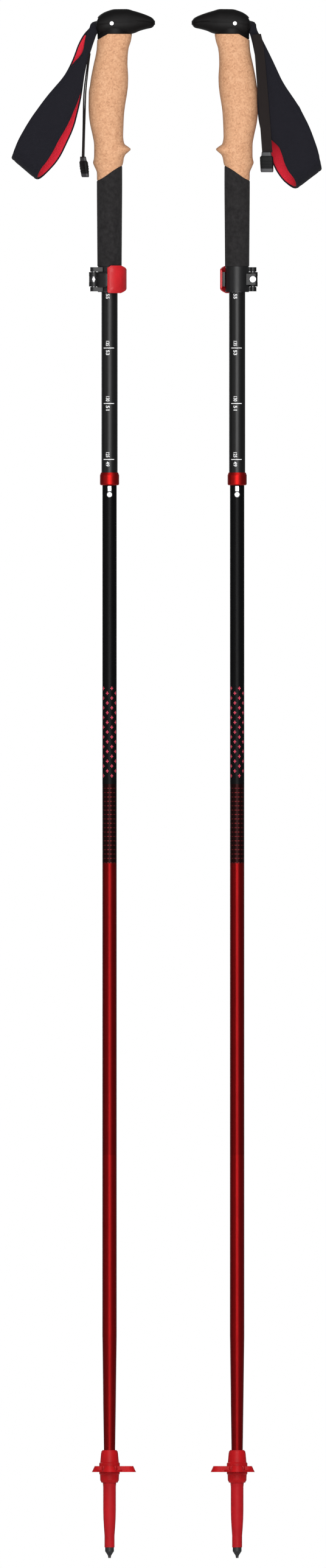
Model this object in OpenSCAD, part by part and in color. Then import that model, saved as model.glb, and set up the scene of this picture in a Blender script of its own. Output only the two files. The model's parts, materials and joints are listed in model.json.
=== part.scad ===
// A pair of three-section folding trekking poles with lever-lock length adjustment.
// Both poles stand on their tips, along +Z. In a pole's own frame its axis is x = y = 0,
// the grip's beak points to +X and the wrist strap hangs on the -X side.

/* [Pair] */
// Distance between the two pole axes
pole_spacing = 115; // [112:1:160]
// Shift of the pair along X that centres the outer edges of the two straps
pair_shift = 6; // [0:1:12]

/* [Shaft] */
// Outer diameter of the marked upper tube
upper_d = 14.5; // [14.3:0.1:14.8]
// Outer diameter of the black, middle and lower tubes
shaft_d = 12.9; // [12.8:0.05:12.95]
// Wall thickness of the shaft tubes
wall = 0.75; // [0.7:0.05:0.75]
// Radial gap of a sliding fit
run_gap = 0.05; // [0.02:0.01:0.08]
// Diameter of the tension cord
cord_d = 2; // [1.5:0.1:2.4]
// Height of the seam between the lower and the middle section
lower_seam_z = 363; // [350:1:380]
// Height of the seam between the middle and the top section
upper_seam_z = 697; // [680:1:710]
// Length of a joint cone above and below its seam
cone_reach = 50; // [40:1:55]
// Outer diameter of the tube that the grip is mounted on
grip_tube_d = 16.8; // [16.6:0.1:17]

/* [Lock] */
// Height of the lower face of the anodised collar
collar_z = 966; // [964:0.5:968]
// Height of the collar
collar_h = 11.5; // [10:0.5:13]
// Outer diameter of the collar
collar_d = 17.3; // [16.8:0.1:18]
// Height of the middle of the lock button
button_z = 957.6; // [957:0.1:958.5]
// Diameter of the lock button
button_d = 5.2; // [4.6:0.1:5.4]
// How far the lock button stands out of the tube
button_stand = 2.15; // [1.8:0.05:2.3]

/* [Clamp] */
// Height of the clamp's lower face
clamp_z = 1140; // [1138:1:1142]
// Height of the clamp
clamp_h = 23; // [22:0.5:24]
// Outer diameter of the clamp's band
clamp_d = 21.2; // [20.8:0.1:21.4]
// Distance of the lever's pin behind the pole axis
lever_pin_x = 14.2; // [14:0.1:14.6]
// Distance of the lever's pin to the side of the pole axis
lever_pin_y = 6.5; // [6.3:0.1:6.8]
// Outer radius of the red lever pad about the pole axis
pad_r = 15.4; // [15:0.1:16]

/* [Grip] */
// Diameter of the foam below the cork
foam_top_d = 22.9; // [22:0.1:24]
// Diameter of the foam at its lower end
foam_low_d = 21.9; // [21:0.1:22.5]
// Height of the cork grip's flat top
cork_top_z = 1372.5; // [1371:0.5:1374]
// Diameter of the strap's cross pin
strap_pin_d = 3.3; // [3:0.1:3.6]
// Width of the strap webbing at the cap
webbing_w = 15; // [12:0.5:15]
// Half opening of a strap loop at its lower end
loop_gap = 11; // [8:0.5:12]
// Thickness of the padded strap
strap_t = 2.6; // [2:0.1:3]

/* [Tip] */
// Outer diameter of the flex tip's straight end, where a rubber foot fits
tip_d = 9; // [8.8:0.1:9.2]
// Reach of the basket's front lobe from the pole axis
lobe_front = 23.9; // [20:0.1:26]
// Reach of the basket's two side lobes
lobe_side = 19.5; // [17:0.1:20]
// Reach of the basket's rear lobe
lobe_rear = 15.9; // [15:0.1:18]

/* [Hidden] */
$fn = 64;
eps = 0.01;
big = 100;

left_x = pair_shift - pole_spacing / 2;
right_x = pair_shift + pole_spacing / 2;

upper_r = upper_d / 2;
upper_bore = upper_r - wall;
shaft_r = shaft_d / 2;
shaft_bore = shaft_r - wall;
grip_tube_r = grip_tube_d / 2;
grip_tube_bore = upper_r + run_gap;
cord_r = cord_d / 2;

latch_w = 4.2;
latch_top_z = collar_z - 0.6;
tip_seat_z = 9.6;
tube_foot_z = 52;
tube_foot_r = 5.1;
tube_foot_bore = 4.4;
taper_low_z = 98;
taper_mid_z = 140;
taper_top_z = 200;
taper_mid_r = 5.7;
black_top_z = 1026;
upper_foot_z = collar_z + 2;
upper_top_z = 1200;
anchor_z = 1150;
anchor_h = 18;
cord_foot_z = 200;
bush_h = 14;
bush_lip = 3;
grip_tube_foot_z = clamp_z + 1.5;
grip_tube_top_z = 1376;
tube_slit = 1.6;
tube_slit_top_z = clamp_z + 30;

lever_z = clamp_z + 5;
lever_h = 13;
lever_pin_r = 2.2;
knuckle_r = 4.3;
screw_z = clamp_z + 11.5;
screw_r = 1.25;
window_h = 5;
arm_in_r = clamp_d / 2 + 0.4;
arm_out_r = 13.4;
pad_low_z = clamp_z - 1;
pad_h = 25;
pad_from = 262;
pad_to = 366;

foam_foot_z = 1163;
seam_tilt = 30;
seam_z = 1247;

strap_pin_x = 2;
strap_pin_z = 1382;
hinge_x = -14.6;
hinge_z = 1381.5;
hinge_r = 2.2;
webbing_t = 1.6;
slot_z = 1377;
slot_h = 10;
cap_socket_z = 1376;

hub_r = 6.55;
hub_top_z = 96.4;
hub_foot_z = 67.8;
plate_z = 77.4;
lobe_w = 14;
lobe_h = 5.4;

// A closed skin through rings of equally many points
module skin(rings) {
  per = len(rings[0]);
  last = len(rings) - 1;
  points = [for (ring = rings) each ring];
  sides = [
    for (i = [0 : last - 1], k = [0 : per - 1])
      each [
        [i * per + k, i * per + (k + 1) % per, (i + 1) * per + k],
        [i * per + (k + 1) % per, (i + 1) * per + (k + 1) % per, (i + 1) * per + k]
      ]
  ];
  low = [for (k = [per - 1 : -1 : 0]) k];
  high = [for (k = [0 : per - 1]) last * per + k];
  polyhedron(points, [for (f = concat(sides, [low, high])) [for (k = [len(f) - 1 : -1 : 0]) f[k]]]);
}

// One point of an oval whose power sets how square it is
function oval(a, b, power, angle) = [
  a * sign(cos(angle)) * pow(abs(cos(angle)), 2 / power),
  b * sign(sin(angle)) * pow(abs(sin(angle)), 2 / power)
];

// A tube about the pole axis
module tube(low, high, outer, inner) {
  rotate_extrude($fn = 96)
    translate([inner, low])
      square([outer - inner, high - low]);
}

// A straight strip of webbing between two points, as wide as w along Y
module strip(from, to, w, t) {
  hull() {
    translate(from) cube([t, w, eps], center = true);
    translate(to) cube([t, w, eps], center = true);
  }
}

// The part of the pole above the stepped top edge of the cork
module above_cork() {
  rotate([90, 0, 0])
    translate([0, 0, -big / 2])
      linear_extrude(big)
        polygon([[-30, 1357], [-1.5, cork_top_z], [50, cork_top_z], [50, 1420], [-30, 1420]]);
}

// The part of the pole below the slanted seam between the cork and the foam
module below_seam() {
  translate([0, 0, seam_z])
    rotate([0, -seam_tilt, 0])
      translate([-big / 2, -big / 2, -big])
        cube(big);
}

// Each ring of the cap: place along X, lower edge, upper edge and half width
function cap_rings() = [
  [-11.6, 1376.5, 1384.5, 9], [-11, 1374.5, 1386.8, 10.5], [-8.8, 1373, 1389.4, 12],
  [-3, 1372.6, 1392.7, 13.2], [5, 1372.6, 1394.8, 13.6], [15, 1372.7, 1394.9, 13],
  [22, 1373.4, 1393, 12], [28, 1375.6, 1391.4, 10.8], [34, 1377.2, 1389, 9],
  [38, 1378.7, 1386.5, 6.8], [39.7, 1380, 1385.1, 4.6], [40.4, 1381.2, 1383.8, 2.4]
];

module top_cap() {
  color("#2b2b2d")
    difference() {
      union() {
        skin([
          for (r = cap_rings())
            [for (k = [0 : 23])
              let (p = oval(r[3], (r[2] - r[1]) / 2, 2.5, k * 15))
                [r[0], p[0], (r[1] + r[2]) / 2 + p[1]]]
        ]);
        intersection() {
          translate([4.6, 0, 1364])
            linear_extrude(14)
              scale([1.2, 1])
                circle(r = 12.9);
          above_cork();
        }
      }
      translate([0, 0, 1360]) cylinder(r = grip_tube_r, h = cap_socket_z - 1360);
      translate([-20, -webbing_w / 2 - 0.3, slot_z]) cube([26.2, webbing_w + 0.6, slot_h]);
      translate([strap_pin_x, 20, strap_pin_z]) rotate([90, 0, 0]) cylinder(d = strap_pin_d, h = 40);
    }
}

module strap_pin() {
  color("#d8d8da")
    translate([strap_pin_x, 13.2, strap_pin_z])
      rotate([90, 0, 0])
        cylinder(d = strap_pin_d, h = 26.4);
}

// The locking wedge between the strap's two layers inside the cap
module strap_wedge() {
  color("#3a3a3c")
    translate([0, 6, 0])
      rotate([90, 0, 0])
        linear_extrude(12)
          polygon([[-9, 1381], [-3, 1380.4], [-3, 1383.6], [-9, 1383]]);
}

// The webbing that turns round the cross pin inside the cap
module strap_anchor() {
  in_r = strap_pin_d / 2;
  out_r = in_r + webbing_t;
  color("#1c1c1e")
    translate([strap_pin_x, webbing_w / 2, strap_pin_z])
      rotate([90, 0, 0])
        linear_extrude(webbing_w)
          difference() {
            union() {
              circle(r = out_r);
              translate([-13.6, -out_r]) square([13.6, 2 * out_r]);
            }
            circle(r = in_r);
            translate([-big, -in_r]) square([big, 2 * in_r]);
          }
}

// A strap loop: two layers that part below the neck and meet in a round fold.
// Fold tilt is the angle of its lower edge, reach the distance from hinge to that edge.
module strap_band(fold_tilt, reach, outline) {
  out_r = loop_gap + strap_t;
  round_s = reach - out_r;
  split_s = 14;
  translate([hinge_x, webbing_w / 2, hinge_z])
    rotate([90, 0, 0])
      cylinder(r = hinge_r, h = webbing_w);
  intersection() {
    translate([hinge_x, 0, hinge_z])
      rotate([0, 90 + fold_tilt, 0])
        translate([0, 0, -big])
          linear_extrude(2 * big)
            difference() {
              union() {
                translate([round_s, 0]) circle(r = out_r);
                polygon([[0, -hinge_r], [round_s, -out_r], [round_s, out_r], [0, hinge_r]]);
              }
              translate([round_s, 0]) circle(r = loop_gap);
              polygon([[split_s, 0], [round_s, -loop_gap], [round_s, loop_gap]]);
            }
    rotate([90, 0, 0])
      translate([0, 0, -big / 2])
        linear_extrude(big)
          polygon([for (p = outline) [-p[0], p[1]]]);
  }
}

module left_strap_loop() {
  color("#232326")
    strap_band(39.4, 140, [
      [13, 1383.2], [17, 1380.5], [25.8, 1369], [33, 1349], [40, 1336], [57, 1316],
      [71, 1296.5], [82, 1277], [87.4, 1261], [62.6, 1240], [47, 1257], [34.6, 1283],
      [27.5, 1309.5], [23.6, 1336], [20, 1349], [15.6, 1362], [13.4, 1374]
    ]);
}

module right_strap_loop() {
  color("#232326")
    strap_band(30.4, 144, [
      [13, 1383.2], [17, 1378], [21, 1371], [31, 1351], [40.5, 1331], [53.8, 1311.5],
      [63.7, 1292], [70.8, 1272], [75.4, 1253], [74, 1249], [49, 1234.2], [36.2, 1245.7],
      [25.4, 1272], [20.8, 1290], [19.6, 1302], [19.5, 1335], [17.6, 1347], [14.4, 1362],
      [13.2, 1374]
    ]);
}

module left_strap_tail() {
  color("#1c1c1e")
    strip([-17.9, 0, 1356], [-23.8, 0, 1260], 10, 1.8);
}

module right_strap_tail() {
  color("#3a3a3e") {
    strip([-16.6, 5, 1376], [-21, 6.6, 1366], 3, 1.8);
    strip([-21, 6.6, 1366], [-30.2, 14.8, 1268.5], 1.8, 6.5);
  }
}

// A moulded tab: a narrow neck block above a wider body
module pull_tab() {
  hull() {
    translate([0, 0, -1]) cube([3, 8, 2], center = true);
    translate([0, 0, -9]) cube([4.4, 11.4, 2], center = true);
  }
  hull() {
    translate([0, 0, -9]) cube([4.4, 11.4, 2], center = true);
    translate([0, 0, -17.6]) cube([3.4, 11, 1.6], center = true);
  }
}

module left_pull_tab() {
  color("#1c1c1e")
    translate([-24, 0, 1260])
      rotate([0, 0, 25])
        pull_tab();
}

module right_pull_tab() {
  color("#1c1c1e")
    translate([-29.6, 15.6, 1268.5])
      rotate([0, 0, 80])
        pull_tab();
}

// Each ring of the cork: height, rear edge, front edge and half width
function cork_rings() = [
  [1236, -11.3, 11.4, 11.3], [1247, -11.4, 11.5, 11.6], [1253.5, -13.8, 11.6, 12.3],
  [1257, -14.9, 12.1, 12.6], [1260.3, -14.1, 12.9, 12.5], [1263.6, -13.9, 14.2, 12.4],
  [1266.6, -13.9, 17.6, 12.3], [1268.6, -13.9, 19.2, 12.3], [1270.6, -13.9, 17.2, 12.5],
  [1273.5, -14, 13.4, 12.8], [1280, -15.1, 12.3, 13.6], [1293, -17.8, 12.7, 14.8],
  [1300, -18.6, 13.1, 15.3], [1306.5, -18.9, 13.8, 15.6], [1319.6, -18.7, 15.9, 15.6],
  [1326, -17.7, 16.6, 15.2], [1333, -16.7, 16.8, 14.6], [1346, -14.1, 16.2, 13.6],
  [1352.6, -12.6, 16.4, 13.2], [1359, -11.6, 17.1, 12.9], [1366, -11.2, 19.2, 12.8],
  [1374, -11.1, 20.6, 12.8]
];

module cork_grip() {
  color("#dba873")
    difference() {
      skin([
        for (r = cork_rings())
          [for (k = [0 : 27])
            let (p = oval((r[2] - r[1]) / 2, r[3], 2.15, k * 360 / 28))
              [(r[1] + r[2]) / 2 + p[0], p[1], r[0]]]
      ]);
      above_cork();
      below_seam();
      translate([0, 0, 1200]) cylinder(r = grip_tube_r, h = 200);
    }
}

module foam_grip() {
  color("#303032")
    intersection() {
      rotate_extrude($fn = 96)
        polygon([
          [grip_tube_r, foam_foot_z], [foam_low_d / 2 - 1.1, foam_foot_z],
          [foam_low_d / 2 - 0.4, foam_foot_z + 1.6], [foam_low_d / 2, foam_foot_z + 5],
          [foam_top_d / 2, 1240], [foam_top_d / 2 - 0.1, 1262], [grip_tube_r, 1262]
        ]);
      below_seam();
    }
}

// The tube under the grip, slit at its foot so that the clamp can close it
module grip_tube() {
  color("#2a2a2c")
    difference() {
      tube(grip_tube_foot_z, grip_tube_top_z, grip_tube_r, grip_tube_bore);
      translate([-big, -tube_slit / 2, grip_tube_foot_z - 1])
        cube([big, tube_slit, tube_slit_top_z - grip_tube_foot_z]);
    }
}

// The clamp's split band, the two ears of the lever's pin and the screw's lug
module clamp_band() {
  ear_h = 4;
  color("#242426")
    difference() {
      union() {
        translate([0, 0, clamp_z]) cylinder(d = clamp_d, h = clamp_h, $fn = 96);
        for (z = [clamp_z + 0.6, clamp_z + clamp_h - ear_h - 0.6])
          translate([0, 0, z]) {
            translate([-lever_pin_x, -lever_pin_y, 0]) cylinder(r = 3.2, h = ear_h);
            translate([-lever_pin_x, -lever_pin_y - 3.2, 0]) cube([8, 5.4, ear_h]);
          }
        translate([-lever_pin_x - 2.4, 1.2, screw_z - 5]) cube([8.4, 5.4, 10]);
      }
      translate([0, 0, grip_tube_foot_z]) cylinder(r = grip_tube_r, h = big);
      translate([0, 0, clamp_z - 1]) cylinder(r = grip_tube_bore, h = 4);
      translate([-big, -1, clamp_z - 1]) cube([big, 2, clamp_h + 2]);
      translate([-lever_pin_x, -lever_pin_y, clamp_z - 1]) cylinder(r = lever_pin_r, h = clamp_h + 2);
      translate([-lever_pin_x, 20, screw_z]) rotate([90, 0, 0]) cylinder(r = screw_r + run_gap, h = 20);
    }
}

module lever_pin() {
  color("#c9c9cc")
    difference() {
      translate([-lever_pin_x, -lever_pin_y, clamp_z + 0.6])
        cylinder(r = lever_pin_r, h = clamp_h - 1.2);
      translate([-lever_pin_x, 0, screw_z])
        rotate([90, 0, 0])
          cylinder(r = screw_r + run_gap, h = 20);
    }
}

// The screw that joins the two sides of the band: a socket head and a threaded shank
module tension_screw() {
  head_y = 6.65;
  color("#c9c9cc")
    translate([-lever_pin_x, 0, screw_z])
      rotate([-90, 0, 0])
        difference() {
          union() {
            translate([0, 0, -lever_pin_y - 3.4]) cylinder(r = screw_r, h = lever_pin_y + 3.4 + head_y);
            translate([0, 0, head_y]) cylinder(r = 2.75, h = 2.6);
          }
          translate([0, 0, head_y + 1]) cylinder(r = 1.5, h = 3, $fn = 6);
        }
}

// A sector of a ring about the pole axis
module sector(low, high, inner, outer, from, to) {
  translate([0, 0, low])
    rotate([0, 0, from])
      rotate_extrude(angle = to - from, $fn = 96)
        translate([inner, 0])
          square([outer - inner, high - low]);
}

// The lever's core: two knuckle arms on the pin and a curved arm under the pad
module clamp_lever() {
  arm_end = pad_to - 8;
  color("#242426")
    difference() {
      union() {
        translate([-lever_pin_x, -lever_pin_y, lever_z]) cylinder(r = knuckle_r, h = lever_h);
        translate([0, 0, lever_z])
          linear_extrude(lever_h)
            polygon([[-15.6, -8.6], [-8, -10], [-6.5, -7.5], [-8, -4.5], [-12.5, -4.2]]);
        intersection() {
          translate([0, 0, lever_z]) cylinder(r = arm_out_r, h = lever_h, $fn = 96);
          translate([0, 0, lever_z])
            linear_extrude(lever_h)
              polygon([[0, 0], [-big, -big * 0.7], [-big, -big], [big, -big],
                       [big * cos(arm_end), big * sin(arm_end)]]);
        }
      }
      translate([0, 0, lever_z - 1]) cylinder(r = arm_in_r, h = lever_h + 2, $fn = 96);
      translate([-lever_pin_x, -lever_pin_y, lever_z - 1])
        cylinder(r = lever_pin_r + run_gap, h = lever_h + 2);
      translate([-lever_pin_x - 6, -big + 1, screw_z - window_h / 2]) cube([11.4, big, window_h]);
    }
}

// The red pad that covers the lever and wraps over its edges
module lever_pad() {
  color("#c8202c")
    difference() {
      sector(pad_low_z, pad_low_z + pad_h, arm_in_r, pad_r, pad_from, pad_to);
      sector(lever_z, lever_z + lever_h, arm_in_r - 1, arm_out_r, pad_from - 2, pad_to - 8);
      for (z = [pad_low_z, pad_low_z + pad_h])
        translate([pad_r, 3.6, z])
          rotate([45, 0, 0])
            cube([12, 7, 7], center = true);
    }
}

module upper_tube() {
  color("#1d1d1f")
    tube(upper_foot_z, upper_top_z, upper_r, upper_bore);
}

// The bush in the top end of the marked tube, which slides inside the grip tube
module guide_bush() {
  color("#b8b8bc")
    rotate_extrude($fn = 96)
      polygon([
        [3, upper_top_z - bush_h], [upper_bore, upper_top_z - bush_h],
        [upper_bore, upper_top_z], [upper_r + run_gap / 2, upper_top_z],
        [upper_r + run_gap / 2, upper_top_z + bush_lip], [3, upper_top_z + bush_lip]
      ]);
}

// The plug that holds the tension cord's upper end in the marked tube
module cord_anchor() {
  color("#8d8d92")
    tube(anchor_z, anchor_z + anchor_h, upper_bore, cord_r);
}

module tension_cord() {
  color("#d9d9d9")
    translate([0, 0, cord_foot_z]) cylinder(r = cord_r, h = anchor_z + anchor_h - cord_foot_z, $fn = 24);
}

// The anodised ring on the foot of the marked tube
module release_collar() {
  bevel_r = 0.9;
  bevel_h = 2.4;
  color("#a8242c")
    rotate_extrude($fn = 96)
      polygon([
        [upper_bore, collar_z], [collar_d / 2 - bevel_r, collar_z],
        [collar_d / 2, collar_z + bevel_r], [collar_d / 2, collar_z + collar_h - bevel_h],
        [collar_d / 2 - bevel_r, collar_z + collar_h],
        [upper_r, collar_z + collar_h], [upper_r, upper_foot_z], [upper_bore, upper_foot_z]
      ]);
}

// The lock: a round button and a latch block that meets the collar, on one base strip
module lock_button() {
  base_y = -4;
  base_t = 1.1;
  block_t = shaft_r + button_stand - 0.4 + base_y - base_t;
  color("#d0d0d3") {
    translate([0, base_y - base_t, button_z])
      rotate([90, 0, 0])
        cylinder(d = button_d, h = shaft_r + button_stand + base_y - base_t);
    translate([-latch_w / 2, base_y - base_t - block_t, button_z])
      cube([latch_w, block_t + eps, latch_top_z - button_z]);
    translate([-2.3, base_y - base_t, button_z - 3.4]) cube([4.6, base_t, 10.4]);
  }
}

// The ring of spring wire behind the button, open at the back
module button_spring() {
  color("#b0b0b4")
    translate([0, 0, button_z - 1.5])
      rotate([0, 0, 120])
        rotate_extrude(angle = 300, $fn = 64)
          translate([3.5, 0])
            square([0.5, 3]);
}

module black_tube() {
  color("#161617")
    difference() {
      tube(upper_seam_z, black_top_z, shaft_r, shaft_bore);
      translate([0, 0, button_z]) rotate([90, 0, 0]) cylinder(d = button_d + 2 * run_gap, h = 20);
      translate([-latch_w / 2 - run_gap, -20, button_z])
        cube([latch_w + 2 * run_gap, 20, latch_top_z + run_gap - button_z]);
    }
}

// A hollow cone fixed in the tube below a seam, which guides the tube above onto it
module joint_cone(seam) {
  fit_r = shaft_bore - run_gap;
  nose_h = 8;
  color("#bcbcc0")
    rotate_extrude($fn = 96)
      polygon([
        [cord_r + 0.6, seam - cone_reach], [shaft_bore, seam - cone_reach], [shaft_bore, seam],
        [fit_r, seam], [fit_r, seam + cone_reach - nose_h],
        [fit_r - 1.6, seam + cone_reach], [cord_r + 0.6, seam + cone_reach]
      ]);
}

module middle_cone() {
  joint_cone(upper_seam_z);
}

module middle_tube() {
  color("#8e1c20")
    tube(lower_seam_z, upper_seam_z, shaft_r, shaft_bore);
}

module lower_cone() {
  joint_cone(lower_seam_z);
}

module lower_tube() {
  color("#8e1c20")
    rotate_extrude($fn = 96)
      polygon([
        [tube_foot_bore, tube_foot_z], [tube_foot_r, tube_foot_z], [tube_foot_r, taper_low_z],
        [taper_mid_r, taper_mid_z], [shaft_r, taper_top_z], [shaft_r, lower_seam_z],
        [shaft_bore, lower_seam_z], [shaft_bore, taper_top_z + 4],
        [tube_foot_bore, taper_mid_z - 10]
      ]);
}

module flex_tip() {
  stem_r = 2.5;
  stem_h = 10;
  color("#c32431")
    rotate_extrude($fn = 96)
      polygon([
        [0, tip_seat_z + stem_h], [stem_r, tip_seat_z + stem_h], [stem_r, tip_seat_z],
        [tip_d / 2, tip_seat_z], [tip_d / 2, 20], [5.1, 28], [5.5, 35], [5.7, 44],
        [5.7, 64], [6.1, hub_foot_z], [hub_r, hub_foot_z], [hub_r, hub_top_z + 0.8],
        [tube_foot_r, hub_top_z + 0.8], [tube_foot_r, tube_foot_z], [0, tube_foot_z]
      ]);
}

// One lobe of the basket: a paddle with a bevelled round end, pocketed from below
module lobe(reach) {
  end_x = reach - lobe_w / 2;
  skin_t = 1.5;
  difference() {
    union() {
      translate([0, -lobe_w / 2 + 1, plate_z]) cube([end_x, lobe_w - 2, lobe_h]);
      translate([end_x, 0, plate_z]) cylinder(d1 = lobe_w, d2 = lobe_w - 5, h = lobe_h);
    }
    translate([0, -lobe_w / 2 + 1 + skin_t, plate_z - 1])
      cube([end_x, lobe_w - 2 - 2 * skin_t, lobe_h + 1 - skin_t]);
  }
}

// The basket: a hub screwed on the flex tip and four lobes, the longest in front
module basket() {
  color("#c32431")
    difference() {
      union() {
        rotate_extrude($fn = 96)
          polygon([
            [0, hub_foot_z], [hub_r + 0.7, hub_foot_z], [8.4, 70], [8.6, 75], [9.3, 76],
            [9.3, 85.4], [8.4, 86.2], [7.7, 94], [7.2, hub_top_z], [0, hub_top_z]
          ]);
        translate([0, 0, plate_z]) cylinder(r = 13, h = 2, $fn = 96);
        lobe(lobe_front);
        for (turn = [90, 270]) rotate([0, 0, turn]) lobe(lobe_side);
        rotate([0, 0, 180]) lobe(lobe_rear);
      }
      translate([0, 0, hub_foot_z - 1]) cylinder(r = hub_r, h = hub_top_z);
    }
}

// The hard tip: a stem pressed into the flex tip, a flange and a hollow point
module carbide_tip() {
  color("#1a1a1c")
    rotate_extrude($fn = 64)
      polygon([
        [0, 0.9], [0.7, 0], [1.2, 0], [1.4, 2], [3.4, 5.2], [4, 6], [4, tip_seat_z],
        [2.5, tip_seat_z], [2.5, tip_seat_z + 10], [0, tip_seat_z + 10]
      ]);
}

// Places of the left pole, of the right pole's grip, which is turned, and of its shaft
module left() {
  translate([left_x, 0, 0]) children();
}

module right() {
  translate([right_x, 0, 0]) rotate([0, 0, 180]) children();
}

module right_shaft() {
  translate([right_x, 0, 0]) children();
}

left() top_cap();  // left_top_cap
left() strap_pin();  // left_strap_pin
left() strap_wedge();  // left_strap_wedge
left() strap_anchor();  // left_strap_anchor
left() left_strap_loop();
left() left_strap_tail();
left() left_pull_tab();
left() cork_grip();  // left_cork_grip
left() foam_grip();  // left_foam_grip
left() grip_tube();  // left_grip_tube
left() clamp_band();  // left_clamp_band
left() lever_pin();  // left_lever_pin
left() tension_screw();  // left_tension_screw
left() clamp_lever();  // left_clamp_lever
left() lever_pad();  // left_lever_pad
left() upper_tube();  // left_upper_tube
left() guide_bush();  // left_guide_bush
left() cord_anchor();  // left_cord_anchor
left() tension_cord();  // left_tension_cord
left() release_collar();  // left_release_collar
left() lock_button();  // left_lock_button
left() button_spring();  // left_button_spring
left() black_tube();  // left_black_tube
left() middle_cone();  // left_middle_cone
left() middle_tube();  // left_middle_tube
left() lower_cone();  // left_lower_cone
left() lower_tube();  // left_lower_tube
left() flex_tip();  // left_flex_tip
left() basket();  // left_basket
left() carbide_tip();  // left_carbide_tip
right() top_cap();  // right_top_cap
right() strap_pin();  // right_strap_pin
right() strap_wedge();  // right_strap_wedge
right() strap_anchor();  // right_strap_anchor
right() right_strap_loop();
right() right_strap_tail();
right() right_pull_tab();
right() cork_grip();  // right_cork_grip
right() foam_grip();  // right_foam_grip
right() grip_tube();  // right_grip_tube
right() clamp_band();  // right_clamp_band
right() lever_pin();  // right_lever_pin
right() tension_screw();  // right_tension_screw
right() clamp_lever();  // right_clamp_lever
right() lever_pad();  // right_lever_pad
right_shaft() upper_tube();  // right_upper_tube
right_shaft() guide_bush();  // right_guide_bush
right_shaft() cord_anchor();  // right_cord_anchor
right_shaft() tension_cord();  // right_tension_cord
right_shaft() release_collar();  // right_release_collar
right_shaft() lock_button();  // right_lock_button
right_shaft() button_spring();  // right_button_spring
right_shaft() black_tube();  // right_black_tube
right_shaft() middle_cone();  // right_middle_cone
right_shaft() middle_tube();  // right_middle_tube
right_shaft() lower_cone();  // right_lower_cone
right_shaft() lower_tube();  // right_lower_tube
right() flex_tip();  // right_flex_tip
right() basket();  // right_basket
right_shaft() carbide_tip();  // right_carbide_tip
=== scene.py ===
"""A pair of folding trekking poles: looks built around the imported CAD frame.

Sizes in this file are millimetres in a pole's own frame (its axis is x = y = 0 and the grip's
beak points to +X) unless a name says otherwise; to_row() turns them into metres in the row frame.
"""

import json
from math import copysign, cos, exp, hypot, pi, radians, sin, tau

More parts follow.
